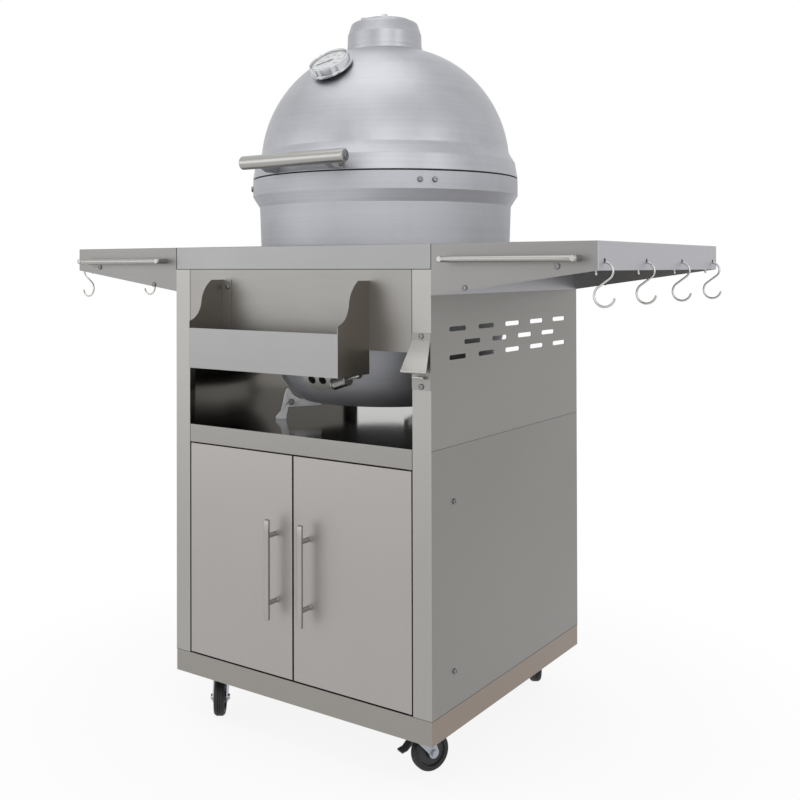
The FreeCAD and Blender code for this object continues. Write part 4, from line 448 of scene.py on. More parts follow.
def brushed(name, colour, rough, grain, spread=0.05, faces=()):
    """Stainless sheet brushed with a belt: long scratches 0.1 mm wide, drawn 2.5 mm wide so
    that they show, that stretch highlights and leave a soft streaky satin with faint clouds
    where the sheet was wiped. Each of faces is a way, such as "Y" or "-X", with the colour and
    roughness of the sheet that looks that way: each way's colour is painted light and shade,
    a lighter or darker copy of the same sheet chosen by the way it looks."""
    finish, tree, shader, spot = surface(name, colour, Metallic=1.0)
    ways = add(tree, "SeparateXYZ", {0: spot.node.outputs["Normal"]}).outputs

    def looks_along(axis):
        """1 where the sheet looks that way, or along that axis where no sign is given."""
        sign, way = {"-": (-1, axis[1:]), "+": (1, axis[1:])}.get(axis[0], (0, axis))
        kind = "MULTIPLY" if sign else "ABSOLUTE"
        steep = add(tree, "Math", {0: ways[way], 1: sign}, operation=kind).outputs[0]
        return add(tree, "Math", {0: steep, 1: 0.7}, operation="GREATER_THAN").outputs[0]

    # Scratches to a metre across the grain and along it.
    fine, long = 400.0, 3.0
    across = {"upright": (fine, fine, long), "level": (long, long, fine)}[grain]
    lines = add(tree, "Mapping", {"Vector": spot, "Scale": across}).outputs[0]
    if grain == "level":
        # Level brushing runs along Z's layers on walls and along X on faces that look up.
        along = add(tree, "Mapping", {"Vector": spot, "Scale": (long, fine, long)}).outputs[0]
        ends = {0: looks_along("Z"), 4: lines, 5: along}
        lines = add(tree, "Mix", ends, data_type="VECTOR").outputs[1]
    scratch = {"Vector": lines, "Scale": 1.0, "Detail": 3.0, "Roughness": 0.6}
    grainy = add(tree, "TexNoise", scratch).outputs[0]
    wiped = {"Vector": spot, "Scale": 4.5, "Detail": 2.0, "Distortion": 0.4}
    cloud = add(tree, "TexNoise", wiped).outputs[0]
    both = add(tree, "Math", {0: grainy, 1: cloud}, operation="ADD").outputs[0]
    half = add(tree, "Math", {0: both, 1: 0.5}, operation="MULTIPLY").outputs[0]
    dull_low, dull_high = 0.88, 1.17
    shown = streaks(tree, colour, half, 1 - spread, 1 + spread)
    dullness = vary(tree, half, dull_low * rough, dull_high * rough)
    for axis, there, rough_there in faces:
        here = looks_along(axis)
        other = streaks(tree, there, half, 1 - spread, 1 + spread)
        shown = add(tree, "Mix", {0: here, 6: shown, 7: other}, data_type="RGBA").outputs[2]
        other = vary(tree, half, dull_low * rough_there, dull_high * rough_there)
        dullness = add(tree, "Mix", {0: here, 2: dullness, 3: other}).outputs[0]
    tree.links.new(shown, shader.inputs["Base Color"])
    tree.links.new(dullness, shader.inputs["Roughness"])
    relief(tree, shader, grainy, 0.10, 0.0004)
    return finish


def turned_aluminium(name, colour, rough=0.42):
    """Cast aluminium skimmed in a lathe: rings 0.5 mm apart, drawn 3 mm apart so that they show,
    each a little lighter or duller than the next, over the soft grey clouds of the casting."""
    finish, tree, shader, spot = surface(name, colour, Metallic=1.0)
    centred = add(tree, "Mapping", {"Vector": spot, "Location": (0, -AXIS_Y, 0)}).outputs[0]
    flat = add(tree, "VectorMath", {0: centred, 1: (1, 1, 0)}, operation="MULTIPLY").outputs[0]
    radius = add(tree, "VectorMath", {0: flat}, operation="LENGTH").outputs["Value"]
    height = add(tree, "SeparateXYZ", {0: centred}).outputs[2]
    rings = add(tree, "CombineXYZ", {0: radius, 1: 0.0, 2: height}).outputs[0]
    # A little of the place round the axis keeps the rings from being the same all the way.
    wander = (0.006, 0.006, 0.0)
    drift = add(tree, "VectorMath", {0: flat, 1: wander}, operation="MULTIPLY").outputs[0]
    lanes = add(tree, "VectorMath", {0: rings, 1: drift}, operation="ADD").outputs[0]
    fine = {"Vector": lanes, "Scale": 240.0, "Detail": 3.0, "Roughness": 0.7}
    skim = add(tree, "TexNoise", fine).outputs[0]
    broad = add(tree, "TexNoise", {"Vector": lanes, "Scale": 38.0, "Detail": 3.0}).outputs[0]
    mould = {"Vector": centred, "Scale": 9.0, "Detail": 4.0, "Roughness": 0.62, "Distortion": 0.5}
    cloud = add(tree, "TexNoise", mould).outputs[0]
    grit = add(tree, "TexNoise", {"Vector": centred, "Scale": 260.0, "Detail": 2.0}).outputs[0]
    first = add(tree, "Mix", {0: 0.5, 2: skim, 3: broad}).outputs[0]
    second = add(tree, "Mix", {0: 0.45, 2: first, 3: cloud}).outputs[0]
    wide = add(tree, "MapRange", {"Value": second, "From Min": 0.38, "From Max": 0.62}).outputs[0]
    # Faces that look down get painted light: paler than the cut faces, and rougher.
    lean = add(tree, "SeparateXYZ", {0: spot.node.outputs["Normal"]}).outputs[2]
    under = add(tree, "MapRange", {"Value": lean, "From Min": -0.2, "From Max": -0.5}).outputs[0]
    cut = streaks(tree, colour, wide, 0.90, 1.09)
    painted_underside_light = streaks(tree, colour, wide, 1.28, 1.44)
    shown = add(tree, "Mix", {0: under, 6: cut, 7: painted_underside_light}, data_type="RGBA").outputs[2]
    tree.links.new(shown, shader.inputs["Base Color"])
    dullness = vary(tree, second, rough - 0.07, rough + 0.09)
    underside_rough = 0.62
    dullness = add(tree, "Mix", {0: under, 2: dullness, 3: underside_rough}).outputs[0]
    tree.links.new(dullness, shader.inputs["Roughness"])
    uneven = add(tree, "Mix", {0: 0.35, 2: skim, 3: grit}).outputs[0]
    relief(tree, shader, uneven, 0.16, 0.0005)
    return finish


def sand_cast(name, colour, metal=1.0, rough=0.5, grit=700.0, depth=0.0004):
    """Metal as it leaves a sand mould: grains of about 1.4 mm that make it dull and speckled."""
    finish, tree, shader, spot = surface(name, colour, Metallic=metal)
    fine = {"Vector": spot, "Scale": grit, "Detail": 3.0, "Roughness": 0.6}
    grain = add(tree, "TexNoise", fine).outputs[0]
    cloud = add(tree, "TexNoise", {"Vector": spot, "Scale": 24.0, "Detail": 3.0}).outputs[0]
    both = add(tree, "Mix", {0: 0.5, 2: grain, 3: cloud}).outputs[0]
    tint(tree, shader, colour, both, 0.72, 1.22)
    tree.links.new(vary(tree, grain, rough - 0.08, rough + 0.1), shader.inputs["Roughness"])
    relief(tree, shader, grain, 0.35, depth)
    return finish


def drawn_steel(name, colour, rough, spread=0.06):
    """Round bar and screw heads, ground and buffed: nearly even, with faint rub marks."""
    finish, tree, shader, spot = surface(name, colour, Metallic=1.0)
    marks = {"Vector": spot, "Scale": 210.0, "Detail": 3.0, "Distortion": 0.6}
    rub = add(tree, "TexNoise", marks).outputs[0]
    cloud = add(tree, "TexNoise", {"Vector": spot, "Scale": 30.0, "Detail": 2.0}).outputs[0]
    both = add(tree, "Mix", {0: 0.5, 2: rub, 3: cloud}).outputs[0]
    tint(tree, shader, colour, both, 1 - spread, 1 + spread)
    tree.links.new(vary(tree, both, rough - 0.05, rough + 0.07), shader.inputs["Roughness"])
    relief(tree, shader, rub, 0.06, 0.0002)
    return finish


def zinc_plate(name, colour):
    """Pressed steel with a bright zinc coat: bluish, with cells of 4 mm that differ a little."""
    finish, tree, shader, spot = surface(name, colour, Metallic=1.0)
    cells = add(tree, "TexVoronoi", {"Vector": spot, "Scale": 250.0}, feature="F1").outputs
    level = add(tree, "SeparateXYZ", {0: cells["Color"]}).outputs[0]
    cloud = add(tree, "TexNoise", {"Vector": spot, "Scale": 60.0, "Detail": 3.0}).outputs[0]
    both = add(tree, "Mix", {0: 0.6, 2: level, 3: cloud}).outputs[0]
    tint(tree, shader, colour, both, 0.80, 1.16)
    tree.links.new(vary(tree, both, 0.26, 0.42), shader.inputs["Roughness"])
    relief(tree, shader, cloud, 0.12, 0.0004)
    return finish


def dull(name, colour, rough, scale, depth, low=0.8, high=1.25, **sockets):
    """Rubber, paint, felt or moulded plastic: no metal, with pores or fibres of its own scale."""
    finish, tree, shader, spot = surface(name, colour, **sockets)
    fine = {"Vector": spot, "Scale": scale, "Detail": 3.0, "Roughness": 0.6}
    pores = add(tree, "TexNoise", fine).outputs[0]
    tint(tree, shader, colour, pores, low, high)
    tree.links.new(vary(tree, pores, rough - 0.06, rough + 0.08), shader.inputs["Roughness"])
    relief(tree, shader, pores, 0.3, depth)
    return finish


def mix_finishes(look):
    """Every finish of the table, each named for the real material; the joints' grey is painted
    shade.
    """
    # Each fold's grey is painted light and shade: front bends and shelf ends lighter, aprons,
    # the rack's cheeks and the skirt's sides darker. Inner faces and deck mirror the dark inside
    # the cart and also take painted shade.
    stile = ("Y", look.stile, SATIN)
    folds = {
        "upright": ("upright", look.lower, [stile]),
        "side_left": ("level", look.stainless, [stile, ("+X", look.inside, 0.15)]),
        "side_right": ("level", look.stainless, [stile, ("-X", look.inside, 0.15)]),
        "edge": ("level", look.edge, [("X", look.rack_end, SATIN)]),
        "ends": ("level", look.stainless, [("X", look.end, SATIN), ("Y", look.apron, SATIN)]),
        "door": ("upright", look.door, []),
        "level": ("level", look.stainless, []),
        "skirt": ("level", look.skirt, [("X", look.skirt_side, SATIN)]),
    }
    # The deck's upward faces take the darker shelf tone as painted shade.
    deck = [("Z", look.shelf, 0.10)]
    for word, (grain, colour, faces) in folds.items():
        FINISH[word] = brushed("stainless_brushed_" + word, colour, SATIN, grain, faces=faces)
    FINISH.update(
        shelf=brushed("stainless_polished_deck", look.stainless, 0.34, "level", faces=deck),
        # Rings of soft light round the lid, spread wider on the bowl.
        turned=turned_aluminium("aluminium_turned", look.aluminium),
        bowl=turned_aluminium("aluminium_turned_bowl", look.bowl, 0.60),
        # Dull, speckled greys on brackets and feet.
        cast=sand_cast("aluminium_sand_cast", look.casting),
        feet=sand_cast("aluminium_blasted", look.feet),
        # Narrow highlights along bars and wire, sharp ones on the dial's case and the screws.
        bar=drawn_steel("steel_satin_bar", look.bar, 0.30),
        bright=drawn_steel("steel_bright", linear("B9B8B5"), 0.22),
        polished=drawn_steel("steel_polished", linear("C6C8CC"), 0.13),
        screw=drawn_steel("steel_screw_head", linear("7E7D80"), 0.34),
        # A bluish patchwork with a soft shine.
        zinc=zinc_plate("steel_zinc_plated", look.zinc),
        # Blacks told apart by their shine: matt tyre, closer hub, smooth paint, dead felt, and
        # the dark grey of painted shade in the joints.
        rubber=dull("rubber_moulded_black", look.rubber, 0.62, 900.0, 0.0003),
        hub=dull("nylon_moulded_dark", linear("1C1D1F"), 0.45, 500.0, 0.0002),
        paint=dull("paint_satin_black", linear("141416"), 0.4, 600.0, 0.0001),
        felt=dull("felt_pressed_dark", linear("2B2A2B"), 0.95, 1100.0, 0.0008),
        # Painted shade for the joints between the sheets.
        seam=dull("sealant_grey", linear("33312F"), 0.6, 500.0, 0.0001),
        # Near black, with a glint on its grains.
        iron=sand_cast("iron_sand_cast", linear("3C3B3B"), 0.6, 0.62, grit=520.0, depth=0.0006),
        # Clean whites with a soft gloss, and the flat black figures on one of them.
        catch=dull("plastic_moulded_white", linear("D8D8D4"), 0.42, 400.0, 0.0001, 0.95, 1.05),
        enamel=dull("enamel_white", look.enamel, 0.28, 300.0, 0.00004, 0.97, 1.03),
        print=dull("print_black", linear("1B1C20"), 0.5, 900.0, 0.00002),
        glass=clear_glass(),
    )


def clear_glass():
    """Flat cover glass: clear, with only its reflection and a few fine smears to show it."""
    finish, tree, shader, spot = surface(
        "glass_clear", linear("FFFFFF"), Roughness=0.02, IOR=1.45, Transmission_Weight=1.0
    )
    smear = add(tree, "TexNoise", {"Vector": spot, "Scale": 120.0, "Detail": 2.0}).outputs[0]
    tree.links.new(vary(tree, smear, 0.0, 0.05), shader.inputs["Roughness"])
    return finish


# --- operators ----------------------------------------------------------------------------


class Maker:
    """What the operators share: each can be undone and run again with other sizes."""

    bl_options = {"REGISTER", "UNDO"}


class GRILL_OT_finishes(Maker, bpy.types.Operator):
    """Give every carried-over CAD part its finish and soften the castings' edges"""

    bl_idname = "grill.finishes"
    bl_label = "Finishes"

    WHERE = {
        "upright": "lower_left_panel lower_right_panel back_panel",
        "door": "left_door right_door",
        "side_left": "upper_left_panel",
        "side_right": "upper_right_panel",
        "ends": "left_shelf right_shelf",
        "edge": "counter_top bottle_rack",
        "level": "front_panel",
        "skirt": "base_tray",
        "shelf": "middle_shelf",
        "feet": "stand_feet",
        "cast": "handle_brackets draft_frame hinge_bracket lid_hinge_strap",
        "turned": "vent_disc",
        "bar": "draft_disc cooking_grate",
        "screw": "screws handle_bolts hinge_pin",
        "zinc": "caster_plates caster_fork_front_left caster_fork_front_right"
        " caster_fork_rear_left caster_fork_rear_right",
        "paint": "caster_brake_front_left caster_brake_front_right"
        " thermometer_needle door_hinge_pins",
        "felt": "bowl_gasket",
        "iron": "charcoal_grate",
        "catch": "door_catches",
        "glass": "thermometer_lens",
    }
    # Widths of the softened edges, in millimetres.
    EDGES = {
        "stand_feet": 1.6,
        "handle_brackets": 1.4,
        "hinge_bracket": 1.2,
        "lid_hinge_strap": 1.2,
    }

    def execute(self, context):
        mix_finishes(context.scene.finishes)
        for finish, names in self.WHERE.items():
            for name in names.split():
                thing = NODES[name]
                if not thing.material_slots:
                    raise RuntimeError(f"{name} has no material slot")
                for slot in thing.material_slots:
                    slot.link = "OBJECT"
                    slot.material = FINISH[finish]
        for name, width in self.EDGES.items():
            weld = NODES[name].modifiers.new("weld", "WELD")
            weld.merge_threshold = 1e-5
            soften(NODES[name], width / 1000)
        return {"FINISHED"}


def draft_place():
    """The draft vent's own frame: Z out of its plate, which looks 22 degrees down."""
    lean, out, drop = math.radians(22), 0.2515, 0.259
    return facing((0, -math.cos(lean), -math.sin(lean)), (0, AXIS_Y - out, COUNTER - drop))


class GRILL_OT_bowl(Maker, bpy.types.Operator):
    """Turn the kamado's bowl, with the draft vent's hole bored through its wall"""

    bl_idname = "grill.bowl"
    bl_label = "Bowl"

    def execute(self, context):
        k = context.scene.kamado_sizes
        # The outside below the counter, as heights, radii and the bends between them.
        foot, haunch, belly = -0.331, -0.290, -0.180
        foot_r, haunch_r, belly_r = 0.184, 0.226, 0.262
        haunch_bend, belly_bend, side_bend = 0.118, 0.340, 1.253
        band_foot, band_low, flare = 0.088, 0.112, 0.003
        # Inside, the cooking grate and the charcoal grate each lie on a ledge.
        inner, grate_ledge, ledge = k.band_r - SEAM_FACE, 0.118, 0.009
        fire_ledge, fire_r = -0.205, 0.230
        rows = outline(
            [
                (0, foot),
                (foot_r, foot),
                (haunch_r, haunch, haunch_bend),
                (belly_r, belly, belly_bend),
                (k.bowl_r, 0, side_bend),
                (k.bowl_r + flare, band_foot),
                (k.band_r, band_low),
                (k.band_r, k.seam),
                (inner, k.seam),
                (inner, grate_ledge),
                (inner - ledge, grate_ledge),
                (k.bowl_r - k.wall, 0),
                (belly_r - k.wall, belly, -(side_bend - k.wall)),
                (belly_r - 0.004 - k.wall, fire_ledge),
                (fire_r, fire_ledge),
                (haunch_r - k.wall, haunch + 0.006),
                (foot_r - k.wall, k.wall + foot),
                (0, k.wall + foot),
            ],
            step=0.012,
        )
        hole = moved(lathe(stub(0.030, -0.06, 0.01), 64), draft_place())
        piece(
            "kamado_bowl",
            [moved(lathe(rows, k.facets), shift(0, AXIS_Y, COUNTER))],
            "bowl",
            "cart",
            ["bowl"],
            edge=0.0014,
            sharp=12,
            cutters=[hole],
        )
        return {"FINISHED"}


class GRILL_OT_lid(Maker, bpy.types.Operator):
    """Turn the kamado's lid: band, ridge, dome and neck, with the same wall all over"""

    bl_idname = "grill.lid"
    bl_label = "Lid"

    def execute(self, context):
        k = context.scene.kamado_sizes
        low, top = k.seam + k.seam_gap, k.neck + NECK_LIP
        band, band_draw = 0.033, 0.0055
        ridge_foot, ridge_out = 0.008, 0.003
        inner, inner_bend = k.band_r - SEAM_FACE, 0.230
        rows = outline(
            [
                (k.band_r, low),
                (k.band_r - band_draw, low + band),
                (k.dome_r + ridge_out, k.ridge - ridge_foot),
                (k.dome_r, k.ridge),
                (k.shoulder_r, k.shoulder, k.dome_bend),
                (k.neck_r, k.neck, "smooth"),
                (k.neck_r, top),
                (k.chimney_r, top),
                (k.chimney_r, k.neck - k.wall),
                (k.shoulder_r - 0.66 * k.wall, k.shoulder - 0.8 * k.wall, -inner_bend),
                (k.dome_r - k.wall, k.ridge, k.wall - k.dome_bend),
                (inner, k.ridge - SEAM_FACE),
                (inner, low),
            ],
            step=0.006,
        )
        piece(
            "kamado_lid",
            [moved(lathe(rows, k.facets, closed=True), shift(0, AXIS_Y, COUNTER))],
            "turned",
            "lid",
            ["lid"],
            edge=0.0012,
            sharp=12,
        )
        return {"FINISHED"}


class GRILL_OT_vent_cap(Maker, bpy.types.Operator):
    """Turn the vent's cap with its four ports, centre stud and nut"""

    bl_idname = "grill.vent_cap"
    bl_label = "Vent cap"

    def execute(self, context):
        k = context.scene.kamado_sizes
        low = k.neck + NECK_LIP
        top = low + k.cap
        cone, brim, roll, skin = 0.027, 0.006, 0.007, 0.005
        rows = outline(
            [
                (k.neck_r - 0.001, low),
                (k.neck_r - 0.002, top - cone),
                (k.cap_top_r, top - brim),
                (k.cap_top_r - roll, top, 0.008),
                (0, top),
                (0, top - skin),
                (k.chimney_r + 0.004, top - skin),
                (k.chimney_r + 0.006, low),
            ],
            step=0.003,
        )
        port_r, port_out = 0.014, 0.035
        port = lathe(stub(port_r, top - 0.008, top + 0.004), 40)
        up = shift(0, AXIS_Y, COUNTER)
        ports = []
        for angle in np.radians([45, 135, 225, 315]):
            ports.append(moved(moved(port, shift(*port_out * ray(angle), 0)), up))
        piece(
            "vent_cap_turned",
            [moved(lathe(rows, 128, closed=True), up)],
            "turned",
            "lid",
            ["vent_cap"],
            edge=0.0008,
            sharp=12,
            cutters=ports,
        )
        stud = chamfered(0.005, top - 0.004, top + 0.016, 0.0015, 0.0015)
        # The nut lies on the turning disc.
        nut = chamfered(0.0085, top + 0.0056, top + 0.022, 0.0017, 0.002)
        piece(
            "vent_nut",
            [moved(lathe(stud, 24), up), moved(lathe(nut, 6), up)],
            "bright",
            "lid",
            edge=0.0004,
            sharp=25,
        )
        return {"FINISHED"}


class GRILL_OT_lid_handle(Maker, bpy.types.Operator):
    """Make the straight tube of the lid's handle with its rounded ends"""

    bl_idname = "grill.lid_handle"
    bl_label = "Lid handle"

    def execute(self, context):
        k = context.scene.kamado_sizes
        low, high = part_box("lid_handle")
        middle = (Vector(low) + Vector(high)) / 2
        half, roll = k.bar / 2, 0.003
        rows = outline(
            [
                (0, -half),
                (k.bar_r - roll, -half),
                (k.bar_r, roll - half, roll),
                (k.bar_r, half - roll),
                (k.bar_r - roll, half, roll),
                (0, half),
            ],
            step=0.0007,
        )
        place = facing((1, 0, 0), middle)
        tube_part = [moved(lathe(rows, 64), place)]
        piece("lid_handle_tube", tube_part, "bar", "lid", ["lid_handle"])
        plug_r, proud = k.bar_r - 0.0032, 0.0004
        disc = np.array([(0, 0), (plug_r, 0), (plug_r - proud, proud), (0, proud)])
        plugs = []
        for side in (-1, 1):
            plugs.append(moved(lathe(disc * (1, side) + (0, side * half), 48), place))
        piece("lid_handle_plugs", plugs, "screw", "lid", sharp=60)
        return {"FINISHED"}


class GRILL_OT_thermometer(Maker, bpy.types.Operator):
    """Make the thermometer's case, dial, scale and numbers"""

    bl_idname = "grill.thermometer"
    bl_label = "Thermometer"

    def execute(self, context):
        k = context.scene.kamado_sizes
        tilt, out, rise = math.radians(50), 0.210, 0.3888
        place = facing((0, -math.cos(tilt), math.sin(tilt)), (0, AXIS_Y - out, COUNTER + rise))
        # Heights from the case's front: the dial's well, the lip behind the case, its back.
        rim, well, roll = k.gauge_r - 0.004, -0.006, 0.0012
        lip, lip_low, back = -0.0160, -0.0200, -0.0210
        lip_r, boss_r, stem_r, probe_r = k.gauge_r + 0.0025, 0.017, 0.0065, 0.0025
        boss, stem, probe = -0.0270, -0.0520, -0.110
        rows = outline(
            [
                (0, well - 0.0005),
                (rim, well - 0.0005),
                (rim, -roll),
                (rim + 0.0008, -0.0004, roll),
                (k.gauge_r - roll, 0),
                (k.gauge_r, -roll, -roll),
                (k.gauge_r, lip + 0.0002),
                (lip_r - 0.001, lip),
                (lip_r, lip - 0.001, -0.001),
                (lip_r, lip_low),
                (lip_r - 0.001, back, -0.001),
                (boss_r, back),
                (boss_r, boss),
                (stem_r, boss),
                (stem_r, stem),
                (probe_r, stem),
                (probe_r, probe + 0.001),
                (0, probe),
            ],
            step=0.0006,
        )
        # The needle turns on a thin post in the middle of the dial.
        post_r, post_top = 0.0012, -0.0042
        base = well - 0.0004
        post = np.array([(0, base), (post_r, base), (post_r, post_top - 0.0001), (0, post_top)])
        parts = [moved(lathe(rows, 96), place), moved(lathe(post, 16), place)]
        piece("thermometer_body", parts, "polished", "lid", ["thermometer_case"])
        edge = rim - 0.0002
        face = np.array([(0, base), (edge, base), (edge, well + 0.0001), (0, well + 0.0002)])
        parts = [moved(lathe(face, 96), place)]
        piece("thermometer_dial", parts, "enamel", "lid")
        ring = np.array([(-0.0016, 0), (-0.0002, 0), (-0.0002, 0.0009), (-0.0016, 0.0005)])
        parts = [moved(lathe(ring + (rim, well + 0.0002), 96, closed=True), place)]
        piece("thermometer_ring", parts, "print", "lid")
        level = well + 0.00015
        parts = [moved(self.ticks(level, rim), place)]
        for angle, value in zip(self.sweep()[::5], range(50, 351, 50)):
            number = self.number(str(value), 0.0235 * ray(angle), level + INK / 2)
            parts.append(moved(number, place))
        piece("thermometer_scale", parts, "print", "lid")
        return {"FINISHED"}

    def sweep(self):
        """Angles of the 31 ticks, every 10 degrees from 50 to 350, spread over 236 degrees."""
        count = 31
        return np.radians(208 - 236 * np.arange(count) / (count - 1))

    def ticks(self, level, rim):
        """Radial bars, each a thin box: its corners lie half a width to each side of the ray
        from its inner to its outer radius, and every fifth bar is longer and wider."""
        angle = self.sweep()
        count = len(angle)
        major = np.arange(count) % 5 == 0
        outer = np.full(count, rim - 0.0035)
        inner = outer - np.where(major, 0.0062, 0.0034)
        half = np.where(major, 0.00065, 0.00035)
        rays = ray(angle).T
        side = np.stack([-rays[:, 1], rays[:, 0]], axis=1) * half[:, None]
        start, end = rays * inner[:, None], rays * outer[:, None]
        flat = np.stack([start - side, end - side, end + side, start + side], axis=1)
        low = np.concatenate([flat, np.full((count, 4, 1), level)], axis=2)
        high = np.concatenate([flat, np.full((count, 4, 1), level + INK)], axis=2)
        spots = np.concatenate([low, high], axis=1).reshape(-1, 3)
        ends = [(3, 2, 1, 0), (4, 5, 6, 7)]
        walls = [(0, 1, 5, 4), (1, 2, 6, 5), (2, 3, 7, 6), (3, 0, 4, 7)]
        box = np.array(ends + walls)
        return spots, (box[None] + 8 * np.arange(count)[:, None, None]).reshape(-1, 4)

    def number(self, word, middle, level):
        """A printed number as vertices and faces, about a middle on the dial."""
        text = bpy.data.curves.new("number", "FONT")
        text.body, text.size, text.extrude = word, 0.0068, INK / 2
        text.align_x, text.align_y = "CENTER", "CENTER"
        text.resolution_u = 3
        holder = bpy.data.objects.new("number", text)
        mesh = bpy.data.meshes.new_from_object(holder)
        spots = np.zeros(len(mesh.vertices) * 3)
        mesh.vertices.foreach_get("co", spots)
        faces = [list(face.vertices) for face in mesh.polygons]
        bpy.data.objects.remove(holder)
        bpy.data.curves.remove(text)
        bpy.data.meshes.remove(mesh)
        return spots.reshape(-1, 3) + (*middle, level), faces


class GRILL_OT_draft_grip(Maker, bpy.types.Operator):
    """Wind the coil of wire that is the draft vent's cool grip"""

    bl_idname = "grill.draft_grip"
    bl_label = "Draft vent's grip"

    def execute(self, context):
        k = context.scene.kamado_sizes
        # The coil runs along X from the spindle's inner collar, this far out of the plate.
        collar, clearance, pitch, out = 0.002, 0.00005, 0.0042, 0.0083
        place = draft_place() @ shift(0.046, -0.017, 0) @ Matrix.Rotation(math.radians(19), 4, "Z")
        angle = np.linspace(0, TURN * k.grip_turns, 36 * k.grip_turns + 1)
        x = collar + clearance + k.grip_wire + pitch * angle / TURN
        spoke = np.stack([0 * angle, np.cos(angle), np.sin(angle)], axis=1)
        path = spoke * k.grip_r + np.stack([x, 0 * x, 0 * x + out], axis=1)
        coil = [moved(tube(path, k.grip_wire, spoke, 10, dome=0.05), place)]
        piece("draft_grip_coil", coil, "bright", "draft_disc", ["draft_grip"])
        return {"FINISHED"}


class GRILL_OT_towel_rails(Maker, bpy.types.Operator):
    """Make both towel bars with their posts"""

    bl_idname = "grill.towel_rails"
    bl_label = "Towel bars"

    def execute(self, context):
        cart = context.scene.cart_sizes
        low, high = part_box("towel_rails")
        height = (low[2] + high[2]) / 2
        axis_y = CART_FRONT - cart.towel_reach
        bar, dome, inset = 0.264, 0.4, 0.0009
        roll, r, reach = 0.0015, cart.towel_post_r, cart.towel_reach + cart.towel_post_r
        post = [(0, 0), (r, 0), (r, reach - roll), (r - roll, reach, roll), (0, reach)]
        rows = outline(post, step=0.0005)
        parts = []
        for side in (-1, 1):
            start, end = sorted([side * (high[0] - bar), side * high[0]])
            tips = np.linspace(start + dome * cart.towel_bar_r, end - dome * cart.towel_bar_r, 9)
            path = np.stack([tips, 0 * tips + axis_y, 0 * tips + height], axis=1)
            parts.append(tube(path, cart.towel_bar_r, (0, 0, 1), 24, dome=dome))
            for x in (start + r + inset, end - r - inset):
                parts.append(moved(lathe(rows, 32), facing((0, -1, 0), (x, CART_FRONT, height))))
        piece("towel_bars", parts, "bar", "cart", ["towel_rails"])
        return {"FINISHED"}


class GRILL_OT_door_handles(Maker, bpy.types.Operator):
    """Make both door handles: a bar with domed ends on two posts"""

    bl_idname = "grill.door_handles"
    bl_label = "Door handles"

    def execute(self, context):
        cart = context.scene.cart_sizes
        tip, collar, collar_high = 0.0025, 0.0015, 0.0012
        for word in ("left", "right"):
            low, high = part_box(word + "_door_handle")
            x, face = (low[0] + high[0]) / 2, high[1]
            middle = (low[2] + high[2]) / 2
            axis_y = low[1] + cart.door_bar_r
            line = np.linspace(low[2] + tip, high[2] - tip, 9)
            path = np.stack([0 * line + x, 0 * line + axis_y, line], axis=1)
            parts = [tube(path, cart.door_bar_r, (1, 0, 0), 32, dome=0.4)]
            r, reach = cart.door_post_r, face - axis_y
            rows = outline(
                [
                    (0, 0),
                    (r + collar, 0),
                    (r + collar, collar_high),
                    (r, collar_high + 0.001, -0.001),
                    (r, reach),
                    (0, reach),
                ],
                step=0.0005,
            )
            for share in (-0.5, 0.5):
                spot = (x, face, middle + share * cart.door_posts)
                parts.append(moved(lathe(rows, 32), facing((0, -1, 0), spot)))
            hides = [word + "_door_handle"]
            piece(word + "_door_bar", parts, "bar", word + "_door", hides)
        return {"FINISHED"}


class GRILL_OT_hooks(Maker, bpy.types.Operator):
    """Bend the eight S hooks that hang in the shelves' ends"""

    bl_idname = "grill.hooks"
    bl_label = "Hooks"

    def execute(self, context):
        cart = context.scene.cart_sizes
        wire, upper, lower, span = cart.hook_wire, cart.hook_upper, cart.hook_lower, cart.hook_span
        # Two arcs about centres one above the other, joined by the line that touches both.
        lean = math.asin((upper + lower) / span)
        rise = np.linspace(math.radians(200), -lean, 40)
        fall = np.linspace(math.pi - lean, math.radians(345), 40)
        above = np.stack([np.cos(rise), 0 * rise, np.sin(rise)], axis=1) * upper
        below = np.stack([np.cos(fall), 0 * fall, np.sin(fall)], axis=1) * lower - (0, 0, span)
        run = above[-1:] + (below[0] - above[-1]) * np.linspace(0, 1, 8)[1:-1, None]
        shape = tube(np.vstack([above, run, below]), wire, (0, 1, 0), 14, dome=0.9)
        hole = SHELF_END - 0.0006  # the middle of the shelf's end sheet
        for word, side in (("left", -1), ("right", 1)):
            for count in range(1, 5):
                node = f"hook_{word}_{count}"
                low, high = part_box(node)
                spot = shift(side * hole, (low[1] + high[1]) / 2, high[2] - upper - wire)
                turn = Matrix.Rotation(math.pi if side < 0 else 0.0, 4, "Z")
                parts = [moved(shape, spot @ turn)]
                piece("s_" + node, parts, "bright", node, [node])
        return {"FINISHED"}


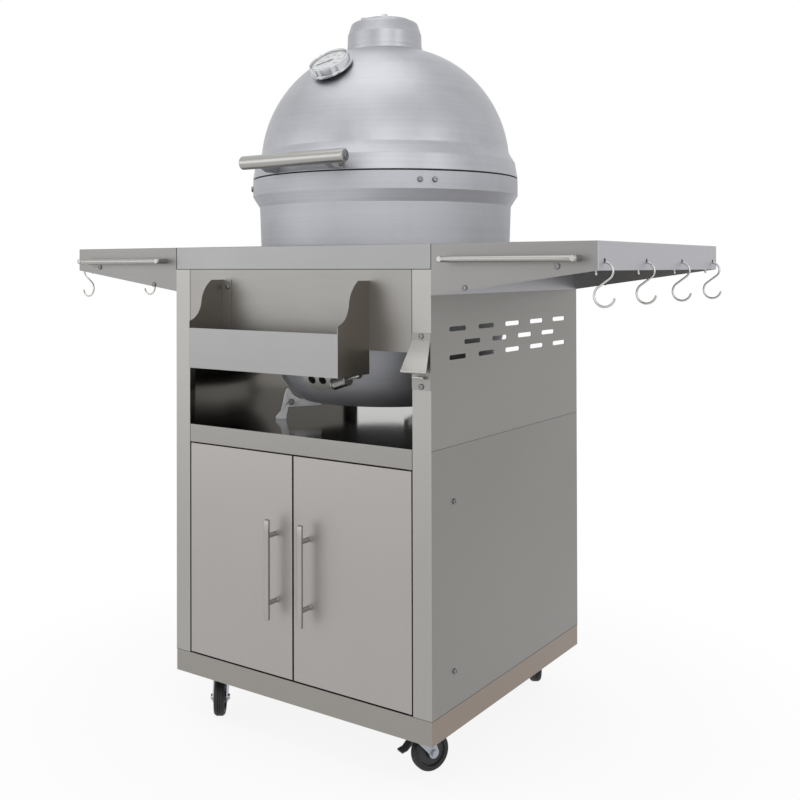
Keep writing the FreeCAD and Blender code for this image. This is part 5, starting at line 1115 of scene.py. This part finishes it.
class GRILL_OT_wheels(Maker, bpy.types.Operator):
    """Turn the four wheels: rubber tyre with grooves and moulded centre"""

    bl_idname = "grill.wheels"
    bl_label = "Wheels"

    # Way that each caster points, in degrees.
    HEADINGS = {"front_left": -54.0, "front_right": 64.0, "rear_left": -120.0, "rear_right": 126.0}

    def execute(self, context):
        cart = context.scene.cart_sizes
        r, half = cart.wheel_r, cart.wheel_width / 2
        rim, wall, tread, round_r = r - 0.009, half - 0.001, half - 0.009, 0.0085
        side = [(rim, wall), (r - 0.0040, wall), (r, tread, -round_r)]
        floor = r - 0.0012
        groove = [(r, 0.0036), (floor, 0.0030), (floor, 0.0020), (r, 0.0014)]
        left = [(p[0], -p[1]) for p in reversed(groove)]
        left += [(r, -tread), (r - 0.0040, -wall, -round_r), (rim, -wall)]
        tyre = outline(side + groove + left, step=0.0009)
        # The moulded centre: boss round the axle, dished web, ring under the tyre.
        bore, boss_r, dish, ring = 0.00405, 0.0095, 0.005, 0.0012
        web = outline(
            [
                (bore, half),
                (boss_r, half),
                (boss_r + 0.002, half - 0.002, -0.002),
                (boss_r + 0.004, half - dish),
                (0.0255, half - dish),
                (0.0275, half - ring),
                (rim, half - ring),
            ],
            step=0.0009,
        )
        centre = np.vstack([web, web[::-1] * (1, -1)])
        for word, heading in self.HEADINGS.items():
            node, body = "caster_wheel_" + word, "wheel_" + word
            low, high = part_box(node)
            turn = math.radians(heading)
            place = facing((-math.sin(turn), math.cos(turn), 0), (Vector(low) + Vector(high)) / 2)
            parts = [moved(lathe(tyre, 96, closed=True), place)]
            piece("tyre_" + word, parts, "rubber", body, [node], sharp=50)
            parts = [moved(lathe(centre, 64, closed=True), place)]
            piece("wheel_centre_" + word, parts, "hub", body, sharp=40)
        return {"FINISHED"}


class GRILL_OT_opener(Maker, bpy.types.Operator):
    """Bend the bottle opener: plate, flaring hood with its rolled edge, and lifting lip"""

    bl_idname = "grill.opener"
    bl_label = "Bottle opener"

    def execute(self, context):
        cart = context.scene.cart_sizes
        low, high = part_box("bottle_opener")
        x, face, top = (low[0] + high[0]) / 2, high[1], high[2]
        thick, height, step = cart.opener_sheet, high[2] - low[2], 0.0006
        back = plate(rounded_box(0.040, height, 0.003), 0, thick)
        parts = [moved(back, facing((0, -1, 0), (x, face, top - height / 2)))]
        piece("opener_plate", parts, "level", "cart", ["bottle_opener"], edge=0.0004)
        # Both bent sheets are lines (out of the plate, down from its top) carried across X.
        fold, drop, narrow = -0.0135, 0.052, 0.0185
        line = outline(
            [
                (-0.6 * thick, fold),
                (-0.0282, fold - drop),
                (-0.0270, -0.0705, 0.0028),
                (-0.0225, -0.0695, 0.0040),
            ],
            step=step,
        )
        share = np.clip((fold - line[:, 1]) / drop, 0, 1)[:, None]
        width = narrow + (cart.opener_hood / 2 - narrow) * share
        self.bent("opener_hood", line, np.linspace(-1, 1, 13)[None] * width, (x, face, top), thick)
        lip = [(-thick, -0.0820), (-0.0110, -0.0820), (-0.0135, -0.0795, 0.0026)]
        lip = outline(lip, step=step)
        across = np.linspace(-0.013, 0.011, 7)[None] + 0 * lip[:, :1]
        self.bent("opener_lip", lip, across, (x, face, top), thick)
        return {"FINISHED"}

    def bent(self, name, line, across, corner, thick):
        """A bent sheet: point (i, j) lies across[i, j] to the side of point i of the line, and
        the grid gets its thickness on both sides of it."""
        flat = 0 * across
        grid = np.stack([across, flat + line[:, :1], flat + line[:, 1:]], axis=2) + corner
        thing = piece(name, [sheet_of(grid)], "bar", "cart", sharp=60)
        wall = thing.modifiers.new("sheet", "SOLIDIFY")
        wall.thickness, wall.offset = thick * 0.9, 0.0
        soften(thing, 0.0003, 60)


class GRILL_OT_seams(Maker, bpy.types.Operator):
    """Lay dark beads of painted shade in the joints between the cart's folded sheets"""

    bl_idname = "grill.seams"
    bl_label = "Seams"

    def execute(self, context):
        upper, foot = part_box("upper_right_panel"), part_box("lower_right_panel")[0][2]
        side, shelf, fascia = upper[1][0], upper[0][2], upper[1][2]
        front, back = CART_FRONT, CART_BACK
        panel, rail_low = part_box("front_panel"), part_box("middle_shelf")[0][2]
        # Radius of a bead in a groove, in a corner, and where two sheets butt; and how far the
        # grooves' beads lie behind the sheets' faces.
        deep, corner, shallow = 0.0007, 0.0006, 0.0004
        sunk, gap_sunk, fold = 0.00045, 0.0009, 0.0015
        stile, gap_x = side - 0.040, panel[1][0] + deep
        under, level = fascia - deep, COUNTER - 0.0002
        parts = [self.bead((-side, front + sunk, under), (side, front + sunk, under), deep)]
        for way in (-1, 1):
            x = way * (side - sunk)
            parts.append(self.bead((x, front, under), (x, back, under), deep))
            x = way * gap_x
            for low, high in ((panel[0][2], fascia), (rail_low, shelf)):
                y = front + gap_sunk
                parts.append(self.bead((x, y, low), (x, y, high), deep))
            x = way * side
            parts.append(self.bead((x, front, fascia), (x, front, COUNTER - fold), corner))
            parts.append(self.bead((x, front + fold, level), (x, back - fold, level), shallow))
            parts.append(self.bead((way * stile, front, foot), (x, front, foot), shallow))
            for height in (foot, shelf):
                parts.append(self.bead((x, front, height), (x, back, height), shallow))
        # The beads are painted shade: a dark grey drawn into the joints.
        piece("seam_sealant", parts, "seam", "cart")
        return {"FINISHED"}

    def bead(self, start, end, radius):
        """A thin round bead along a straight joint."""
        side = (1, 0, 0) if start[0] == end[0] else (0, 0, 1)
        return tube(np.linspace(start, end, 5), radius, side, 8, dome=0.5)


class GRILL_OT_stage(Maker, bpy.types.Operator):
    """Set the pale floor, the soft lamps, the white background and the camera"""

    bl_idname = "grill.stage"
    bl_label = "Stage"

    # Each lamp's place, the height on the kamado's axis that it is aimed at, and its two sides.
    LAMPS = {
        "key": ((-3.2, -4.4, 1.5), 0.9, (4.4, 2.9)),
        "front": ((2.7, -3.9, 2.2), 1.1, (2.6, 3.2)),
        "strip": ((3.6, -0.9, 1.6), 1.2, (0.8, 2.6)),
        "top": ((-0.2, -0.6, 4.0), 0.9, (3.0, 3.0)),
    }

    def execute(self, context):
        scene = context.scene
        scene.view_settings.view_transform = "Standard"
        self.floor(scene)
        self.background(scene)
        for word, (spot, aim, size) in self.LAMPS.items():
            self.lamp(scene, word, spot, (0, 0, aim), size)
        self.camera(scene)
        return {"FINISHED"}

    def floor(self, scene):
        """A round floor that shows white, takes faint shadows near the object and none far out."""
        rows = np.array([(0, 0), (1.5, 0), (3.0, 0), (40, 0)])
        spots, quads = lathe(rows, 96)
        below = 0.0006  # so that the tyres don't share their lowest points with it
        mesh = closed_mesh("floor", [(spots - (0, 0, below), quads)])
        if mesh.polygons[0].normal.z < 0:
            mesh.flip_normals()
        floor = bpy.data.objects.new("floor", mesh)
        scene.collection.objects.link(floor)
        paint, tree, shader, spot = surface("floor_paper_white", linear("F4F4F4"), Roughness=0.9)
        shader.inputs["Specular IOR Level"].default_value = 0.1
        far = add(tree, "VectorMath", {0: spot}, operation="LENGTH").outputs["Value"]
        reach = {"Value": far, "From Min": 0.35, "From Max": 1.1, "To Min": 0.88, "To Max": 1.0}
        fade = add(tree, "MapRange", reach).outputs[0]
        glow = add(tree, "Emission", {"Color": (1, 1, 1, 1), "Strength": 1.0}).outputs[0]
        part = add(tree, "Math", {0: fade, 1: self.seen_directly(tree)}, operation="MULTIPLY")
        both = add(tree, "MixShader", {0: part.outputs[0], 1: shader.outputs[0], 2: glow})
        tree.links.new(both.outputs[0], tree.nodes["Material Output"].inputs["Surface"])
        mesh.materials.append(paint)

    def seen_directly(self, tree):
        """1 where a ray comes from the camera, a reflection or through glass."""
        path = add(tree, "LightPath").outputs
        rays = {0: path["Is Camera Ray"], 1: path["Is Glossy Ray"]}
        first = add(tree, "Math", rays, operation="MAXIMUM").outputs[0]
        rays = {0: first, 1: path["Is Transmission Ray"]}
        return add(tree, "Math", rays, operation="MAXIMUM").outputs[0]

    def background(self, scene):
        """A world that shows white and lights the object a little over half as strongly."""
        world = bpy.data.worlds.new("studio")
        world.use_nodes = True
        scene.world = world
        tree = world.node_tree
        shader = tree.nodes["Background"]
        ends = {"Value": self.seen_directly(tree), "To Min": 0.55, "To Max": 1.0}
        level = add(tree, "MapRange", ends)
        tree.links.new(level.outputs[0], shader.inputs["Strength"])
        shader.inputs["Color"].default_value = (1, 1, 1, 1)

    def lamp(self, scene, word, spot, aim, size):
        """A soft rectangular lamp that looks from its spot at its aim."""
        light = bpy.data.lights.new(word + "_lamp", "AREA")
        light.shape, light.size, light.size_y = "RECTANGLE", *size
        light.energy = getattr(scene.finishes, word)
        holder = bpy.data.objects.new(word + "_lamp", light)
        holder.location = spot
        holder.rotation_euler = (Vector(aim) - Vector(spot)).to_track_quat("-Z", "Y").to_euler()
        scene.collection.objects.link(holder)

    def camera(self, scene):
        """The photograph's point of view: 35.7 degrees to the right, level with the lid's seam."""
        spot = (1.3049, -1.9088, 0.9532)
        yaw, pitch, roll = math.radians(35.705), math.radians(0.392), math.radians(-0.124)
        level = math.cos(pitch)
        ahead = Vector((-math.sin(yaw) * level, math.cos(yaw) * level, math.sin(pitch)))
        lens = bpy.data.cameras.new("camera")
        lens.lens, lens.sensor_width = 47.24, 36.0
        lens.shift_x, lens.shift_y = 0.0625, -0.175
        holder = bpy.data.objects.new("camera", lens)
        holder.location = spot
        turn = ahead.to_track_quat("-Z", "Y").to_matrix() @ Matrix.Rotation(roll, 3, "Z")
        holder.rotation_euler = turn.to_euler()
        scene.collection.objects.link(holder)
        scene.camera = holder


class GRILL_PT_panel(bpy.types.Panel):
    """Lists the pieces of the grill table with their sizes and colours"""

    bl_idname = "GRILL_PT_panel"
    bl_label = "Grill table"
    bl_space_type = "VIEW_3D"
    bl_region_type = "UI"
    bl_category = "Grill table"

    def draw(self, context):
        layout = self.layout
        for operator in OPERATORS:
            layout.operator(operator.bl_idname)
        for word in ("kamado_sizes", "cart_sizes", "finishes"):
            group = getattr(context.scene, word)
            box = layout.box()
            for key in group.bl_rna.properties.keys():
                if key not in ("rna_type", "name"):
                    box.prop(group, key)


OPERATORS = (
    GRILL_OT_finishes,
    GRILL_OT_bowl,
    GRILL_OT_lid,
    GRILL_OT_vent_cap,
    GRILL_OT_lid_handle,
    GRILL_OT_thermometer,
    GRILL_OT_draft_grip,
    GRILL_OT_towel_rails,
    GRILL_OT_door_handles,
    GRILL_OT_hooks,
    GRILL_OT_wheels,
    GRILL_OT_opener,
    GRILL_OT_seams,
    GRILL_OT_stage,
)
CLASSES = (KamadoSizes, CartSizes, Finishes, *OPERATORS, GRILL_PT_panel)


def register():
    for cls in CLASSES:
        bpy.utils.register_class(cls)
    bpy.types.Scene.kamado_sizes = PointerProperty(type=KamadoSizes)
    bpy.types.Scene.cart_sizes = PointerProperty(type=CartSizes)
    bpy.types.Scene.finishes = PointerProperty(type=Finishes)


def unregister():
    del bpy.types.Scene.finishes
    del bpy.types.Scene.cart_sizes
    del bpy.types.Scene.kamado_sizes
    for cls in reversed(CLASSES):
        bpy.utils.unregister_class(cls)


def main():
    """Makes every piece in turn."""
    register()
    for operator in OPERATORS:
        group, word = operator.bl_idname.split(".")
        getattr(getattr(bpy.ops, group), word)()


if __name__ == "__main__":
    main()
